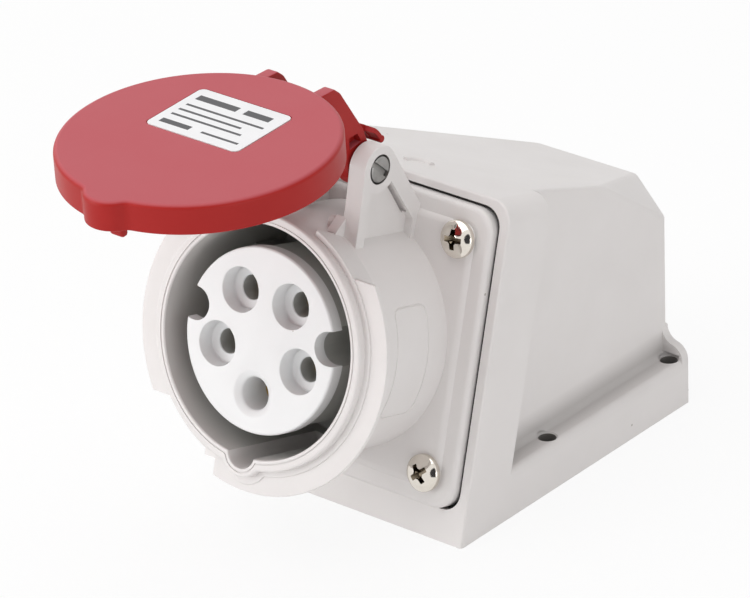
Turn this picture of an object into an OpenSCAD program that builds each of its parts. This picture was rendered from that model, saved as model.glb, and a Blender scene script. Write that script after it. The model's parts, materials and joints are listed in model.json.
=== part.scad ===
/* Wall-mounted industrial power socket with a sprung hinged lid, in millimetres. */
/* Origin: centre of the wall-screw pattern on the mounting plane, Z up from the wall, socket facing -Y. */

/* [Wall base] */
// Width of the base across X
base_width = 82; // [78:0.5:96]
// Rear edge of the base from the wall-screw centre
base_rear = 28.4; // [27:0.1:40]
// Height of the straight side of the skirt round the base
skirt_height = 12.3; // [10:0.1:16]
// Width of the shelf between the skirt's side and the housing wall
shelf_width = 6.3; // [5:0.1:7]
// Distance of the wall-screw holes from the side of the base
hole_edge = 3.5; // [3:0.1:4]
// Wall-screw spacing along Y
wall_pitch_y = 50; // [40:0.5:54]
// Wall-screw hole diameter
wall_hole_d = 4.5; // [3.5:0.1:5]
// Wall thickness of the box
shell = 2.6; // [2:0.1:3.4]

/* [Housing] */
// Height of the roof at the rear wall
roof_rear_z = 59.9; // [54:0.1:66]
// Rounding of the roof edges
roof_round = 5; // [3:0.1:8]
// Width that the right corner facet takes off the rear edge of the roof
facet_width = 9.2; // [6:0.1:12]
// Height that the right corner facet takes off the rear edge of the side wall
facet_height = 10; // [6:0.1:14]
// Width that the left roof slope takes off the rear edge of the roof
slope_width = 30.7; // [20:0.1:32]
// Height that the left roof slope takes off the rear edge of the side wall
slope_height = 6.8; // [3:0.1:9]
// Height of the cable entry above the wall plane
entry_z = 30; // [24:0.5:36]
// Diameter of the cable entry hole
entry_d = 16; // [12:0.5:20]

/* [Socket face] */
// Tilt of the socket axis above the wall plane
tilt = 15.35; // [12:0.05:18]
// Distance of the socket centre in front of the wall-screw centre
socket_y = -54.6; // [-58:0.1:-52]
// Height of the flange's lower edge above the wall plane
face_foot = 8.693; // [7:0.1:14]
// Distance of the flange's sides inside the sides of the base
flange_inset = 3.35; // [3:0.05:5]
// Edge rounding of the collar flange
flange_round = 4.2; // [2:0.1:5]
// Thickness of the collar flange
flange_t = 5.5; // [5:0.1:7]
// Distance of the flange screws inside the flange's sides
screw_inset = 8.35; // [7.5:0.05:9]
// Head diameter of the flange screws
screw_head_d = 9.3; // [7:0.1:10]
// Shank diameter of the flange screws
screw_d = 4; // [3:0.1:4.5]

/* [Collar] */
// Inside diameter of the collar
bore_d = 57; // [54:0.1:60]
// Height of the collar above the flange
collar_h = 35.1; // [34:0.1:38]
// Wall thickness of the collar
collar_wall = 1.9; // [1.6:0.1:2.4]
// Reach of the side wings beyond the collar
wing_reach = 7.2; // [5:0.1:9]
// Radius of the keyway groove
key_r = 3.9; // [3:0.1:4.2]

/* [Insert and contacts] */
// Diameter of the contact insert
insert_d = 45.4; // [44:0.1:47]
// Pitch circle diameter of the contacts
contact_pcd = 26.4; // [25:0.1:27]
// Bore of a phase or neutral contact
phase_bore_d = 5.1; // [4.6:0.05:5.4]
// Bore of the earth contact
earth_bore_d = 7.1; // [6.6:0.05:7.4]
// Depth of the round mouths round the phase and neutral holes
mouth_depth = 4.5; // [3:0.1:6]

/* [Lid] */
// Opening angle of the lid as drawn
lid_open = 72.2; // [0:0.1:110]
// Distance of the hinge axis outside the collar
hinge_reach = 14.3; // [13.5:0.1:16]
// Height of the hinge axis above the flange face
hinge_w = 17; // [15:0.1:18]
// Diameter of the hinge pin
pin_d = 6.4; // [5:0.1:6.6]
// Wall thickness of the lid's skirt
lid_wall = 1.7; // [1.4:0.05:2.2]
// Depth of the lid from its top to the skirt edge
lid_depth = 7.45; // [7:0.05:9]
// Width of the label
label_width = 27.9; // [20:0.1:30]
// Height of the label
label_height = 20.6; // [14:0.1:22]

/* [Hidden] */
$fn = 72;
// Longer than any cut or prism has to be
big = 300;
// How far a cut runs past the face that it opens
over = 1;

// Wall box
base_half = base_width / 2;
housing_half = base_half - shelf_width;
wall_pitch_x = base_width - 2 * hole_edge;
shelf_r = 4.2;
shelf_x = base_half - shelf_r;
cove_r = 4;
cove_x = housing_half + cove_r;
cove_z = skirt_height + sqrt(pow(shelf_r + cove_r, 2) - pow(cove_x - shelf_x, 2));
shelf_turn = acos((cove_x - shelf_x) / (shelf_r + cove_r));
seat_rise = 0.4;
seat_z = skirt_height + seat_rise;
seat_flat = 1.9;
seat_cove_r = shelf_width - seat_flat;
seat_rim = 0.35;
end_t = 1.8;
floor_t = shell + 0.4;
entry_flange = 2.5;
entry_lip = 2;
entry_wall = 3;

// Frame and flange, measured out from the flange face along the socket axis
flange_half = base_half - flange_inset;
socket_z = face_foot + flange_half * cos(tilt);
flange_corner = 5;
frame_front = -3;
frame_back = -19;
frame_border = 2.95;
frame_top = flange_half + frame_border;
frame_round = 5.5;
// The frame's sides stand a hair inside the skirt's
frame_inset = 0.15;
recess_gap = 0.75;
recess_half = flange_half + recess_gap;
gasket_t = 1.5;
gasket_gap = 0.2;
seat_w = -flange_t - gasket_t;
seat_width = 3.15;
screw_off = flange_half - screw_inset;
screw_r = screw_d / 2;
screw_length = 16;
screw_dome = 7.2;
screw_head_h = 3.1;
screw_slot = 5.2;
screw_slot_depth = 1.8;
screw_slot_turn = 28;
boss_r = screw_r + 2.7;
boss_corner = 5;
thread_gap = 0.02;
shank_gap = 0.4;

// Roof, from the frame's rear top edge down to the rear wall
ridge_y = socket_y + frame_top * sin(tilt) - frame_back * cos(tilt);
ridge_z = socket_z + frame_top * cos(tilt) + frame_back * sin(tilt);
roof_slope = atan((ridge_z - roof_rear_z) / (base_rear - ridge_y));
roof_mid = [(ridge_y + base_rear) / 2, (ridge_z + roof_rear_z) / 2];

// Collar
bore_r = bore_d / 2;
collar_r = bore_r + collar_wall;
ring_core = bore_r - 2;
lip_reach = 0.95;
lip_h = 2.1;
lip_foot = 3;
band_w = collar_h - lip_h;
band_r = collar_r + 2.5;
band_h = 9.3;
band_ends = [68.5, 111.5];
wing_r = collar_r + wing_reach;
wing_t = 1.7;
wing_top = 22;
wing_foot = -21.2;
wing_turns = [-110, 60];
counter_r = bore_r + 2.8;
counter_depth = 3;
key_u = -(bore_r - 0.9);
key_foot = 1.5;
key_wall = 1.3;
bulge_r = 7;
bulge_h = 6;
bulge_out = 1.2;

// Insert and contacts
insert_r = insert_d / 2;
insert_gap = 0.3;
face_w = collar_h - 1.4;
notch_r = 3.7;
notch_out = 0.9;
notch_foot = 4;
notch_turn = 18;
web_t = 1.6;
web_top = 9;
web_turns = [70, 150, 232, 308];
pitch_r = contact_pcd / 2;
mouth_r = 5.5;
earth_mouth_h = 1.8;
hole_gap = 0.45;
fit_gap = 0.05;
body_wall = 1.9;
earth_body_wall = 1.8;
body_top = 2;
sleeve_wall = 1.05;
sleeve_top = face_w - 10.1;
bore_foot = 1;
slit = 0.7;
slit_depth = 11;
contact_back = -24;
wire_r = 1.9;
wire_depth = 9;
clamp_w = contact_back + 3.5;
clamp_r = 1.5;
clamp_head_r = 2.4;
clamp_head_h = 2.2;
clamp_lift = 0.4;
ring_w = sleeve_top - 5.6;
ring_h = 2;
ring_t = 0.55;
ring_slit = 1.4;
phase_r = phase_bore_d / 2;
earth_r = earth_bore_d / 2;
// Each pole: name, angle on the pitch circle, bore radius, body radius
POLES = [["l1", 198, phase_r, phase_r + body_wall], ["l2", 126, phase_r, phase_r + body_wall],
    ["l3", 54, phase_r, phase_r + body_wall], ["n", -18, phase_r, phase_r + body_wall],
    ["pe", -90, earth_r, earth_r + earth_body_wall]];

// Terminal carrier
carrier_back = -17;
carrier_r = counter_r - 1.8;
lug_t = 3.5;
carrier_lug_r = 3;
carrier_screw_turn = 30;
carrier_screw_r = 1.25;
carrier_screw_out = counter_r + 2.1;
carrier_screw_length = 7;
carrier_head_r = 2.6;
carrier_head_h = 2;
carrier_slot = 3.2;
// The frame's opening clears the carrier's screw lugs
lug_clear = 0.5;
open_half = max(flange_half - seat_width,
    (carrier_screw_out + carrier_lug_r) * cos(carrier_screw_turn) + lug_clear);
open_round = 3;

// Hinge
pin_r = pin_d / 2;
hinge_u = collar_r + hinge_reach;
ear_root = bore_r - 8.5;
ear_in = 11;
ear_t = 5;
ear_web = 2.8;
ear_boss_r = pin_r + 2.7;
ear_strip = 3;
ear_front = hinge_w + 5.4;
ear_gusset = 2;
nub_x = 8;
nub_t = 2;
nub_h = 3.4;
pin_fit = 0.04;
pin_sunk = 0.6;
pin_slot = 0.9;
pin_slot_depth = 1.7;
pin_slot_turn = 38;
pin_mouth = 0.4;
pin_mouth_depth = 0.9;
spring_turns = 5;
spring_wire = 0.55;
spring_gap = 0.25;

// Lid, drawn shut
lid_clear = 0.65;
lid_lift = 0.35;
lid_r = collar_r + lip_reach + lid_clear + lid_wall;
lid_edge_w = band_w + lid_lift;
lid_top_w = lid_edge_w + lid_depth;
lid_top_t = 1.9;
lid_ceiling = lid_top_w - lid_top_t;
lid_round = 2.4;
lid_draft = 0.5;
lid_top_r = lid_r - lid_draft;
lug_u = key_u - 1.8;
lug_r = 7.4;
lug_drop = 0.7;
lug_room = 1.9;
// A concave blend on each side of the lug touches both the lid's skirt and the lug
blend_r = 3.2;
blend_turn = acos((pow(lid_r + blend_r, 2) + pow(lug_u, 2) - pow(lug_r + blend_r, 2))
    / (2 * (lid_r + blend_r) * -lug_u));
blend_at = (lid_r + blend_r) * [sin(blend_turn), -cos(blend_turn)];
tongue = [4, 2, 7];
tongue_u = lug_u - 0.9;
seal_gap = 0.35;
seal_out = 2.3;
seal_in = 0.7;
seal_notch = 3.4;
arm_in = 7;
arm_out = 10.3;
arm_boss_r = pin_r + 2.1;
arm_pocket = 2;
hood_r = 9;
hood_t = 1.5;
hood_end = 15;
hood_bead = 0.95;
label_x = -1.55;
label_u = 9.1;
label_t = 0.25;
label_corner = 1.6;

grey = [0.84, 0.82, 0.81];
white = [0.94, 0.93, 0.92];
red = [0.70, 0.16, 0.15];
black = [0.08, 0.08, 0.08];
steel = [0.75, 0.74, 0.72];
brass = [0.80, 0.66, 0.36];

// Local x across, y up the socket face, z out along the socket axis.
module socket_frame() {
    translate([0, socket_y, socket_z]) rotate([90 - tilt, 0, 0]) children();
}

// The lid is drawn shut in the socket frame and then opened about the hinge axis.
module lid_frame() {
    socket_frame() translate([0, hinge_u, hinge_w]) rotate([-lid_open, 0, 0])
        translate([0, -hinge_u, -hinge_w]) children();
}

// A profile drawn in (u, w) and pushed along x.
module along_x(x0, x1) {
    translate([x0, 0, 0]) rotate([90, 0, 90]) linear_extrude(x1 - x0) children();
}

module at_hinge() {
    translate([0, hinge_u, hinge_w]) rotate([0, 90, 0]) children();
}

module at_corners(off) {
    for (x = [-1, 1], y = [-1, 1]) translate([x * off, y * off, 0]) children();
}

module at_contact(angle) {
    rotate([0, 0, angle]) translate([pitch_r, 0, 0]) children();
}

module at_carrier_screws() {
    for (a = [0, 180]) rotate([0, 0, carrier_screw_turn + a]) translate([carrier_screw_out, 0, 0]) children();
}

module round_rect(w, h, r) {
    square([w, h - 2 * r], center = true);
    square([w - 2 * r, h], center = true);
    for (x = [-1, 1], y = [-1, 1]) translate([x * (w / 2 - r), y * (h / 2 - r)]) circle(r);
}

// Everything behind a plane square to the socket axis.
module behind(w) {
    socket_frame() translate([-big / 2, -big / 2, w - big]) cube(big);
}

// Everything above a level and in front of a wall plane.
module above(z, rear) {
    translate([-big / 2, rear - big, z]) cube(big);
}

function arc(centre, r, from, to) =
    [for (i = [0 : 6]) let (a = from + (to - from) * i / 6) centre + r * [cos(a), sin(a)]];

// Skirt side, rounded shelf, and a cove that runs up into the housing wall.
module skirt_profile() {
    side = concat([[base_half, 0]], arc([shelf_x, skirt_height], shelf_r, 0, shelf_turn),
        arc([cove_x, cove_z], cove_r, 180 + shelf_turn, 180), [[housing_half - over, cove_z + over]]);
    polygon(concat(side, [for (i = [len(side) - 1 : -1 : 0]) [-side[i][0], side[i][1]]]));
}

// Roof prism: rounded top corners, pushed along the roof slope.
module roof_prism(half, drop, r) {
    translate([0, base_rear, roof_rear_z]) rotate([90 - roof_slope, 0, 0])
        translate([0, -drop - big / 2, -big / 2]) linear_extrude(big) round_rect(2 * half, big, r);
}

// Flat shelf for the wall screws, cut into the skirt's shoulder up to a short way from the rear end, +X side.
module shelf_cut() {
    inner = concat([[base_half + over, seat_z]],
        arc([housing_half + seat_cove_r, seat_z + seat_cove_r], seat_cove_r, 270, 180),
        [[housing_half - seat_rim, seat_z + seat_cove_r], [housing_half - seat_rim, cove_z + 2 * over],
        [base_half + over, cove_z + 2 * over]]);
    translate([0, base_rear - end_t, 0]) rotate([90, 0, 0]) linear_extrude(big) polygon(inner);
}

// Everything above a plane from a point on the side wall's top edge to points on the rear edges, +X side.
module facet_cut(start, wide, tall) {
    a = [housing_half, start[0], start[1]];
    b = [housing_half - wide, base_rear, roof_rear_z];
    c = [housing_half, base_rear, roof_rear_z - tall];
    n = -cross(b - a, c - a);
    translate(c) rotate([0, acos(n[2] / norm(n)), atan2(n[1], n[0])]) translate([-big / 2, -big / 2, 0]) cube(big);
}

module facets(inset) {
    translate([-inset, -inset, -inset]) facet_cut(roof_mid, facet_width, facet_height);
    mirror([1, 0, 0]) translate([-inset, -inset, -inset]) facet_cut([ridge_y, ridge_z], slope_width, slope_height);
}

module box_outer() {
    // Tilted frame round the socket face
    intersection() {
        socket_frame() translate([0, frame_top - big / 2, frame_back]) linear_extrude(frame_front - frame_back)
            round_rect(base_width - 2 * frame_inset, big, frame_round);
        above(0, base_rear);
    }
    // Skirt, and the housing under its sloping roof
    difference() {
        intersection() {
            translate([0, base_rear, 0]) rotate([90, 0, 0]) linear_extrude(big) skirt_profile();
            behind(frame_back + 8);
        }
        shelf_cut();
        mirror([1, 0, 0]) shelf_cut();
    }
    difference() {
        intersection() {
            roof_prism(housing_half, 0, roof_round);
            above(2, base_rear);
            behind(frame_back + 6);
        }
        facets(0);
    }
}

module box_cavity() {
    difference() {
        union() {
            socket_frame() translate([0, 0, frame_back + 3]) linear_extrude(seat_w - frame_back)
                round_rect(2 * open_half, 2 * open_half, open_round);
            difference() {
                intersection() {
                    roof_prism(housing_half - shell, shell, max(roof_round - shell, shell / 3));
                    above(floor_t, base_rear - shell);
                    behind(frame_back + 4);
                }
                facets(shell);
            }
        }
        // Screw bosses stay in the corners
        socket_frame() at_corners(screw_off) translate([0, 0, frame_back + 0.5]) cylinder(r = boss_r, h = big);
        socket_frame() at_corners(screw_off + boss_corner) translate([0, 0, frame_back + 0.5])
            linear_extrude(big) square(2 * boss_corner, center = true);
    }
}

module wall_box() {
    color(grey) difference() {
        box_outer();
        box_cavity();
        // Recess for the gasket and flange
        socket_frame() translate([0, 0, seat_w]) linear_extrude(big)
            round_rect(2 * recess_half, 2 * recess_half, flange_corner);
        socket_frame() at_corners(screw_off) translate([0, 0, -screw_length - 2 * over])
            cylinder(r = screw_r + thread_gap, h = big);
        for (x = [-1, 1], y = [-1, 1]) translate([x * wall_pitch_x / 2, y * wall_pitch_y / 2, 0]) {
            translate([0, 0, -over]) cylinder(d = wall_hole_d, h = cove_z + 2 * over);
            translate([0, 0, seat_z]) cylinder(d = wall_hole_d + 2 * seat_rim, h = seat_cove_r);
        }
        translate([0, base_rear + over, entry_z]) rotate([90, 0, 0]) cylinder(d = entry_d, h = shell + 2 * over);
    }
}

module flange_gasket() {
    outer = 2 * (recess_half - gasket_gap);
    inner = 2 * (open_half - gasket_gap);
    color(black) socket_frame() translate([0, 0, seat_w]) linear_extrude(gasket_t) difference() {
        union() {
            difference() {
                round_rect(outer, outer, flange_corner - gasket_gap);
                round_rect(inner, inner, open_round);
            }
            at_corners(screw_off) circle(boss_r);
            at_corners(screw_off + boss_r * 0.65) square(1.3 * boss_r, center = true);
        }
        at_corners(screw_off) circle(screw_r + shank_gap + gasket_gap);
    }
}

// Flange section with rounded front edges.
module soft_section() {
    translate([-flange_half, -flange_t]) square([2 * flange_half, flange_t - flange_round]);
    translate([-flange_half + flange_round, -flange_t]) square([2 * (flange_half - flange_round), flange_t]);
    for (x = [-1, 1]) translate([x * (flange_half - flange_round), -flange_round]) circle(flange_round);
}

module flange_plate() {
    intersection() {
        translate([0, 0, -flange_t]) linear_extrude(flange_t)
            round_rect(2 * flange_half, 2 * flange_half, flange_corner);
        translate([0, big / 2, 0]) rotate([90, 0, 0]) linear_extrude(big) soft_section();
        translate([-big / 2, 0, 0]) rotate([90, 0, 90]) linear_extrude(big) soft_section();
    }
}

module sector(from, to) {
    polygon([[0, 0], for (a = [from, (from + to) / 2, to]) big * [cos(a), sin(a)]]);
}

module collar_rings() {
    translate([0, 0, -over]) cylinder(r = collar_r, h = collar_h - over);
    rotate_extrude() polygon([[ring_core, band_w - lip_foot], [collar_r + 0.1, band_w - lip_foot],
        [collar_r + lip_reach, band_w], [collar_r - 0.1, collar_h], [ring_core, collar_h]]);
    // Tapered band, left out between the hinge ears
    difference() {
        rotate_extrude() polygon([[ring_core, band_w - band_h], [collar_r + 0.1, band_w - band_h],
            [band_r, band_w], [ring_core, band_w]]);
        translate([0, 0, band_w - band_h - over]) linear_extrude(band_h + 2 * over)
            sector(band_ends[0], band_ends[1]);
    }
}

// Thin side wings level with the band.
module wings() {
    translate([0, 0, band_w - wing_t]) linear_extrude(wing_t) {
        intersection() {
            circle(wing_r);
            translate([-bore_r / 3, -wing_r]) square([2 * wing_r, wing_r + wing_top]);
            sector(wing_turns[0], wing_turns[1]);
        }
        intersection() {
            circle(wing_r);
            translate([-wing_r, wing_foot]) square([wing_r, wing_top - wing_foot]);
        }
    }
}

module ear_outline() {
    polygon([[ear_root, -over], [hinge_u - 10.35, -over], [hinge_u - 9.3, 0], [hinge_u, hinge_w - 7.9],
        [hinge_u, ear_front], [ear_root, ear_front]]);
    translate([hinge_u, hinge_w]) circle(ear_boss_r);
}

// Front strip, rear brace and boss, which stand proud of the web.
module ear_ribs() {
    translate([ear_root, ear_front - ear_strip]) square([hinge_u - ear_root, ear_strip]);
    polygon([[collar_r - 2.1, -over], [hinge_u - 10.35, -over], [hinge_u - 9.3, 0], [hinge_u, hinge_w - 7.9],
        [hinge_u + 1, hinge_w - 5], [hinge_u - 3, hinge_w - 5.3], [collar_r + 0.5, 1.5]]);
    translate([hinge_u, hinge_w]) circle(ear_boss_r);
}

module ear() {
    along_x(ear_in, ear_in + ear_web) ear_outline();
    along_x(ear_in, ear_in + ear_t) ear_ribs();
    // Gusset at the inner front foot and a small stop beside it
    along_x(ear_in - ear_gusset, ear_in + over) polygon([[ear_root, ear_front - 2.4],
        [collar_r + 2.1, ear_front - 0.1], [collar_r - 1.4, ear_front + 3.1], [ear_root, ear_front + 3.1]]);
    along_x(nub_x - nub_t / 2, nub_x + nub_t / 2) translate([ear_root, ear_front - 2.8])
        square([collar_r + 1.6 - ear_root, nub_h]);
}

module collar_flange() {
    color(grey) socket_frame() difference() {
        union() {
            flange_plate();
            collar_rings();
            wings();
            // Keyway ridge along the collar and its bulge at the front
            translate([0, key_u, -over]) cylinder(r = key_r + key_wall, h = collar_h + over);
            translate([0, key_u - bulge_out, band_w - bulge_h]) cylinder(r = bulge_r, h = bulge_h);
            ear();
            mirror([1, 0, 0]) ear();
        }
        translate([0, 0, -counter_depth]) cylinder(r = bore_r, h = big);
        translate([0, 0, -flange_t - over]) cylinder(r = counter_r, h = flange_t + over - counter_depth + 0.5);
        translate([0, key_u, key_foot]) cylinder(r = key_r, h = big);
        at_corners(screw_off) cylinder(r = screw_r + shank_gap, h = 4 * flange_t, center = true);
        at_carrier_screws() translate([0, 0, -flange_t - over])
            cylinder(r = carrier_screw_r + thread_gap, h = carrier_screw_length - lug_t + 1.5 * over);
        at_hinge() cylinder(r = pin_r + pin_fit, h = big, center = true);
        for (s = [-1, 1]) translate([s * (ear_in + ear_t - pin_mouth_depth), hinge_u, hinge_w])
            rotate([0, s * 90, 0]) cylinder(r = pin_r + pin_mouth, h = ear_t);
    }
}

module cross_slot(size, depth) {
    for (a = [0, 90]) rotate([0, 0, a]) translate([0, 0, depth / 2]) cube([size, size * 0.24, depth], center = true);
}

module flange_screw(side, end) {
    color(steel) socket_frame() translate([side * screw_off, end * screw_off, 0]) difference() {
        union() {
            translate([0, 0, -screw_length]) cylinder(r = screw_r, h = screw_length + over / 2);
            intersection() {
                cylinder(d = screw_head_d, h = screw_head_h);
                translate([0, 0, screw_head_h - screw_dome]) sphere(r = screw_dome);
            }
        }
        rotate([0, 0, screw_slot_turn]) translate([0, 0, screw_head_h - screw_slot_depth])
            cross_slot(screw_slot, screw_head_h);
    }
}

// Hole for one contact: mouth and pin hole in front, seat for the contact's body behind.
module contact_hole(p) {
    earth = p[0] == "pe";
    pin_hole = p[2] + hole_gap;
    at_contact(p[1]) {
        if (earth) translate([0, 0, face_w - earth_mouth_h])
            cylinder(r1 = pin_hole, r2 = mouth_r + 0.1, h = earth_mouth_h + 0.1);
        if (!earth) translate([0, 0, face_w - mouth_depth]) cylinder(r = mouth_r, h = big);
        translate([0, 0, body_top]) cylinder(r = pin_hole, h = big);
        translate([0, 0, -flange_t - over])
            cylinder(r = p[3] + fit_gap, h = flange_t + over + sleeve_top + 4 * fit_gap);
    }
}

module contact_insert() {
    color(white) socket_frame() difference() {
        union() {
            translate([0, 0, -flange_t]) cylinder(r = insert_r, h = face_w + flange_t);
            translate([0, 0, -flange_t]) cylinder(r = counter_r - insert_gap, h = flange_t - counter_depth + 0.4);
            // Webs low in the plug gap
            for (a = web_turns) rotate([0, 0, a]) translate([insert_r - 2, -web_t / 2, -counter_depth])
                cube([bore_r - insert_gap - insert_r + 2, web_t, web_top + counter_depth]);
        }
        for (a = [notch_turn, 180 - notch_turn]) rotate([0, 0, a])
            translate([insert_r + notch_out, 0, notch_foot]) cylinder(r = notch_r, h = big);
        for (p = POLES) contact_hole(p);
    }
}

module terminal_carrier() {
    color(white) socket_frame() difference() {
        union() {
            translate([0, 0, carrier_back]) cylinder(r = carrier_r, h = -flange_t - carrier_back);
            translate([0, 0, -flange_t - lug_t]) linear_extrude(lug_t) at_carrier_screws() {
                circle(carrier_lug_r);
                translate([-4 * carrier_lug_r, -carrier_lug_r + 0.1])
                    square([4 * carrier_lug_r, 2 * carrier_lug_r - 0.2]);
            }
        }
        for (p = POLES) at_contact(p[1]) cylinder(r = p[3] + fit_gap, h = big, center = true);
        at_carrier_screws() cylinder(r = carrier_screw_r + 3 * fit_gap, h = big, center = true);
        // Room for the carrier screw heads
        at_carrier_screws() translate([0, 0, carrier_back - over])
            cylinder(r = carrier_lug_r + 0.2, h = -flange_t - lug_t - carrier_back + over);
    }
}

module carrier_screw(turn) {
    color(steel) socket_frame() rotate([0, 0, turn]) translate([carrier_screw_out, 0, -flange_t - lug_t])
        difference() {
            union() {
                cylinder(r = carrier_screw_r, h = carrier_screw_length);
                translate([0, 0, -carrier_head_h]) cylinder(r = carrier_head_r, h = carrier_head_h);
            }
            translate([0, 0, -carrier_head_h - 0.1]) cross_slot(carrier_slot, carrier_head_h * 0.6);
        }
}

// A turned contact: split sleeve in front, wire hole and clamp-screw hole behind.
module contact(p) {
    color(brass) socket_frame() at_contact(p[1]) difference() {
        union() {
            translate([0, 0, contact_back]) cylinder(r = p[3], h = body_top - contact_back);
            translate([0, 0, contact_back]) cylinder(r = p[2] + sleeve_wall, h = sleeve_top - contact_back);
        }
        translate([0, 0, bore_foot]) cylinder(r = p[2], h = big);
        translate([-2 * p[3], -slit / 2, sleeve_top - slit_depth]) cube([4 * p[3], slit, slit_depth + over]);
        translate([0, 0, contact_back - over]) cylinder(r = wire_r, h = wire_depth + over);
        translate([0, 0, clamp_w]) rotate([0, 90, 0]) cylinder(r = clamp_r + thread_gap, h = 2 * p[3]);
    }
}

module spring_ring(p) {
    r_in = p[2] + sleeve_wall + thread_gap;
    color(steel) socket_frame() at_contact(p[1]) translate([0, 0, ring_w]) linear_extrude(ring_h) difference() {
        circle(r_in + ring_t);
        circle(r_in);
        translate([0, -ring_slit / 2]) square([2 * r_in, ring_slit]);
    }
}

module terminal_screw(p) {
    color(steel) socket_frame() at_contact(p[1]) translate([0, 0, clamp_w]) rotate([0, 90, 0]) difference() {
        union() {
            translate([0, 0, wire_r + 0.1]) cylinder(r = clamp_r, h = p[3]);
            translate([0, 0, p[3] + clamp_lift]) cylinder(r = clamp_head_r, h = clamp_head_h);
        }
        translate([0, 0, p[3] + clamp_lift + clamp_head_h])
            cube([3 * clamp_head_r, slit, clamp_head_h * 0.8], center = true);
    }
}

module hinge_pin() {
    half = ear_in + ear_t - pin_sunk;
    color(steel) socket_frame() at_hinge() difference() {
        cylinder(r = pin_r, h = 2 * half, center = true);
        for (s = [-1, 1]) translate([0, 0, s * half]) rotate([0, 0, pin_slot_turn])
            cube([pin_d + over, pin_slot, 2 * pin_slot_depth], center = true);
    }
}

// Wound wire: its cut across the axis is a bent oval, so the wire itself stays round.
module lid_spring() {
    length = 2 * (arm_in - lid_clear);
    mean_r = pin_r + spring_gap + spring_wire;
    pitch = (length - 2 * spring_wire) / spring_turns;
    stretch = spring_wire * sqrt(1 + pow(2 * PI * mean_r / pitch, 2)) / mean_r * 180 / PI;
    leg_foot = collar_r + 4 * fit_gap;
    color(steel) socket_frame() {
        translate([-length / 2, hinge_u, hinge_w]) rotate([0, 90, 0])
            linear_extrude(length, twist = -360 * spring_turns, slices = 24 * spring_turns, $fn = 12)
            polygon([for (i = [0 : 30 : 330]) let (r = mean_r + spring_wire * cos(i), a = stretch * sin(i))
                [r * cos(a), r * sin(a)]]);
        // Leg resting on the collar between the ears
        translate([-length / 2 + 1.1 * spring_wire, leg_foot, hinge_w - mean_r]) rotate([-90, 0, 0])
            cylinder(r = spring_wire, h = hinge_u - leg_foot);
    }
}

module cable_grommet() {
    color(black) translate([0, base_rear, entry_z]) rotate([90, 0, 0]) difference() {
        union() {
            translate([0, 0, -entry_flange]) cylinder(r = entry_d / 2 - thread_gap, h = shell + 2 * entry_flange);
            translate([0, 0, -entry_flange]) cylinder(r = entry_d / 2 + entry_lip, h = entry_flange);
            translate([0, 0, shell]) cylinder(r = entry_d / 2 + 0.75 * entry_lip, h = entry_flange);
        }
        cylinder(r = entry_d / 2 - entry_wall, h = big, center = true);
    }
}

module lid_shell() {
    rotate_extrude() {
        polygon([[0, lid_ceiling], [lid_top_r - 1.8, lid_ceiling], [lid_top_r - 1.8, lid_ceiling + 0.8],
            [lid_top_r - lid_round, lid_ceiling + 0.8], [lid_top_r - lid_round, lid_top_w], [0, lid_top_w]]);
        polygon([[lid_r - lid_wall, lid_edge_w], [lid_r, lid_edge_w], [lid_top_r, lid_top_w - lid_round],
            [lid_top_r - 0.8, lid_top_w - lid_round + 0.5], [lid_top_r - lid_wall, lid_ceiling + 0.3]]);
        translate([lid_top_r - lid_round, lid_top_w - lid_round]) intersection() {
            circle(lid_round);
            square(lid_round + over);
        }
    }
    // Finger lug over the keyway, blended into the skirt on both sides
    difference() {
        translate([0, 0, lid_edge_w]) linear_extrude(lid_depth - lug_drop) difference() {
            union() {
                translate([0, lug_u]) circle(lug_r);
                polygon([[0, 0], blend_at, [0, lug_u], [-blend_at[0], blend_at[1]]]);
            }
            for (s = [-1, 1]) translate([s * blend_at[0], blend_at[1]]) circle(blend_r);
        }
        translate([0, 0, lid_edge_w - over])
            cylinder(r = lid_r - lid_wall + 0.5, h = lid_ceiling - lid_edge_w + 1.3 * over);
    }
}

// Side of a hinge arm, which stands proud of the hood.
module arm_outline() {
    polygon([[lid_r - 2.4, lid_edge_w + 0.2], [lid_r - 2.4, lid_top_w + 0.4], [lid_r + 2.7, lid_top_w + 0.4],
        [lid_r + 4.1, lid_top_w - 1.4], [hinge_u + 0.6, hinge_w + hood_r], [hinge_u + 2, hinge_w],
        [hinge_u - 5.2, hinge_w + 1], [hinge_u - 5.2, hinge_w + 9.5], [lid_r + 0.8, lid_edge_w + 0.2]]);
    translate([hinge_u, hinge_w]) circle(arm_boss_r);
}

// Hollow in the outer side of an arm, above its boss.
module arm_hollow() {
    polygon([[hinge_u - 4, hinge_w + arm_boss_r], [hinge_u - 4, hinge_w + 8.4], [hinge_u - 0.9, hinge_w + 8.4],
        [hinge_u + 0.4, hinge_w + arm_boss_r + 0.6]]);
}

// Plate between the arms that runs down from the lid and curls over the hinge.
module hood_outline() {
    polygon([[lid_r - 1.2, lid_ceiling - 3], [lid_r - 1.2, lid_top_w - 3], [lid_r + 1.4, lid_top_w - 3.2],
        [hinge_u + 0.6, hinge_w + hood_r], [hinge_u - 1, hinge_w + hood_r - 0.6], [lid_r + 1, lid_ceiling - 3.2]]);
    translate([hinge_u, hinge_w]) {
        intersection() {
            difference() {
                circle(hood_r);
                circle(hood_r - hood_t);
            }
            polygon([[0, 0], 2 * hood_r * [cos(hood_end), sin(hood_end)], [3 * hood_r, 3 * hood_r],
                [-hood_r / 2, 3 * hood_r]]);
        }
        rotate(hood_end) translate([hood_r - 0.7, 0]) circle(hood_bead);
    }
}

module tongue_block() {
    translate([-tongue[0] / 2, tongue_u, collar_h - tongue[2]])
        cube([tongue[0], tongue[1], tongue[2] + lid_ceiling - collar_h + 0.3]);
}

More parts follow.
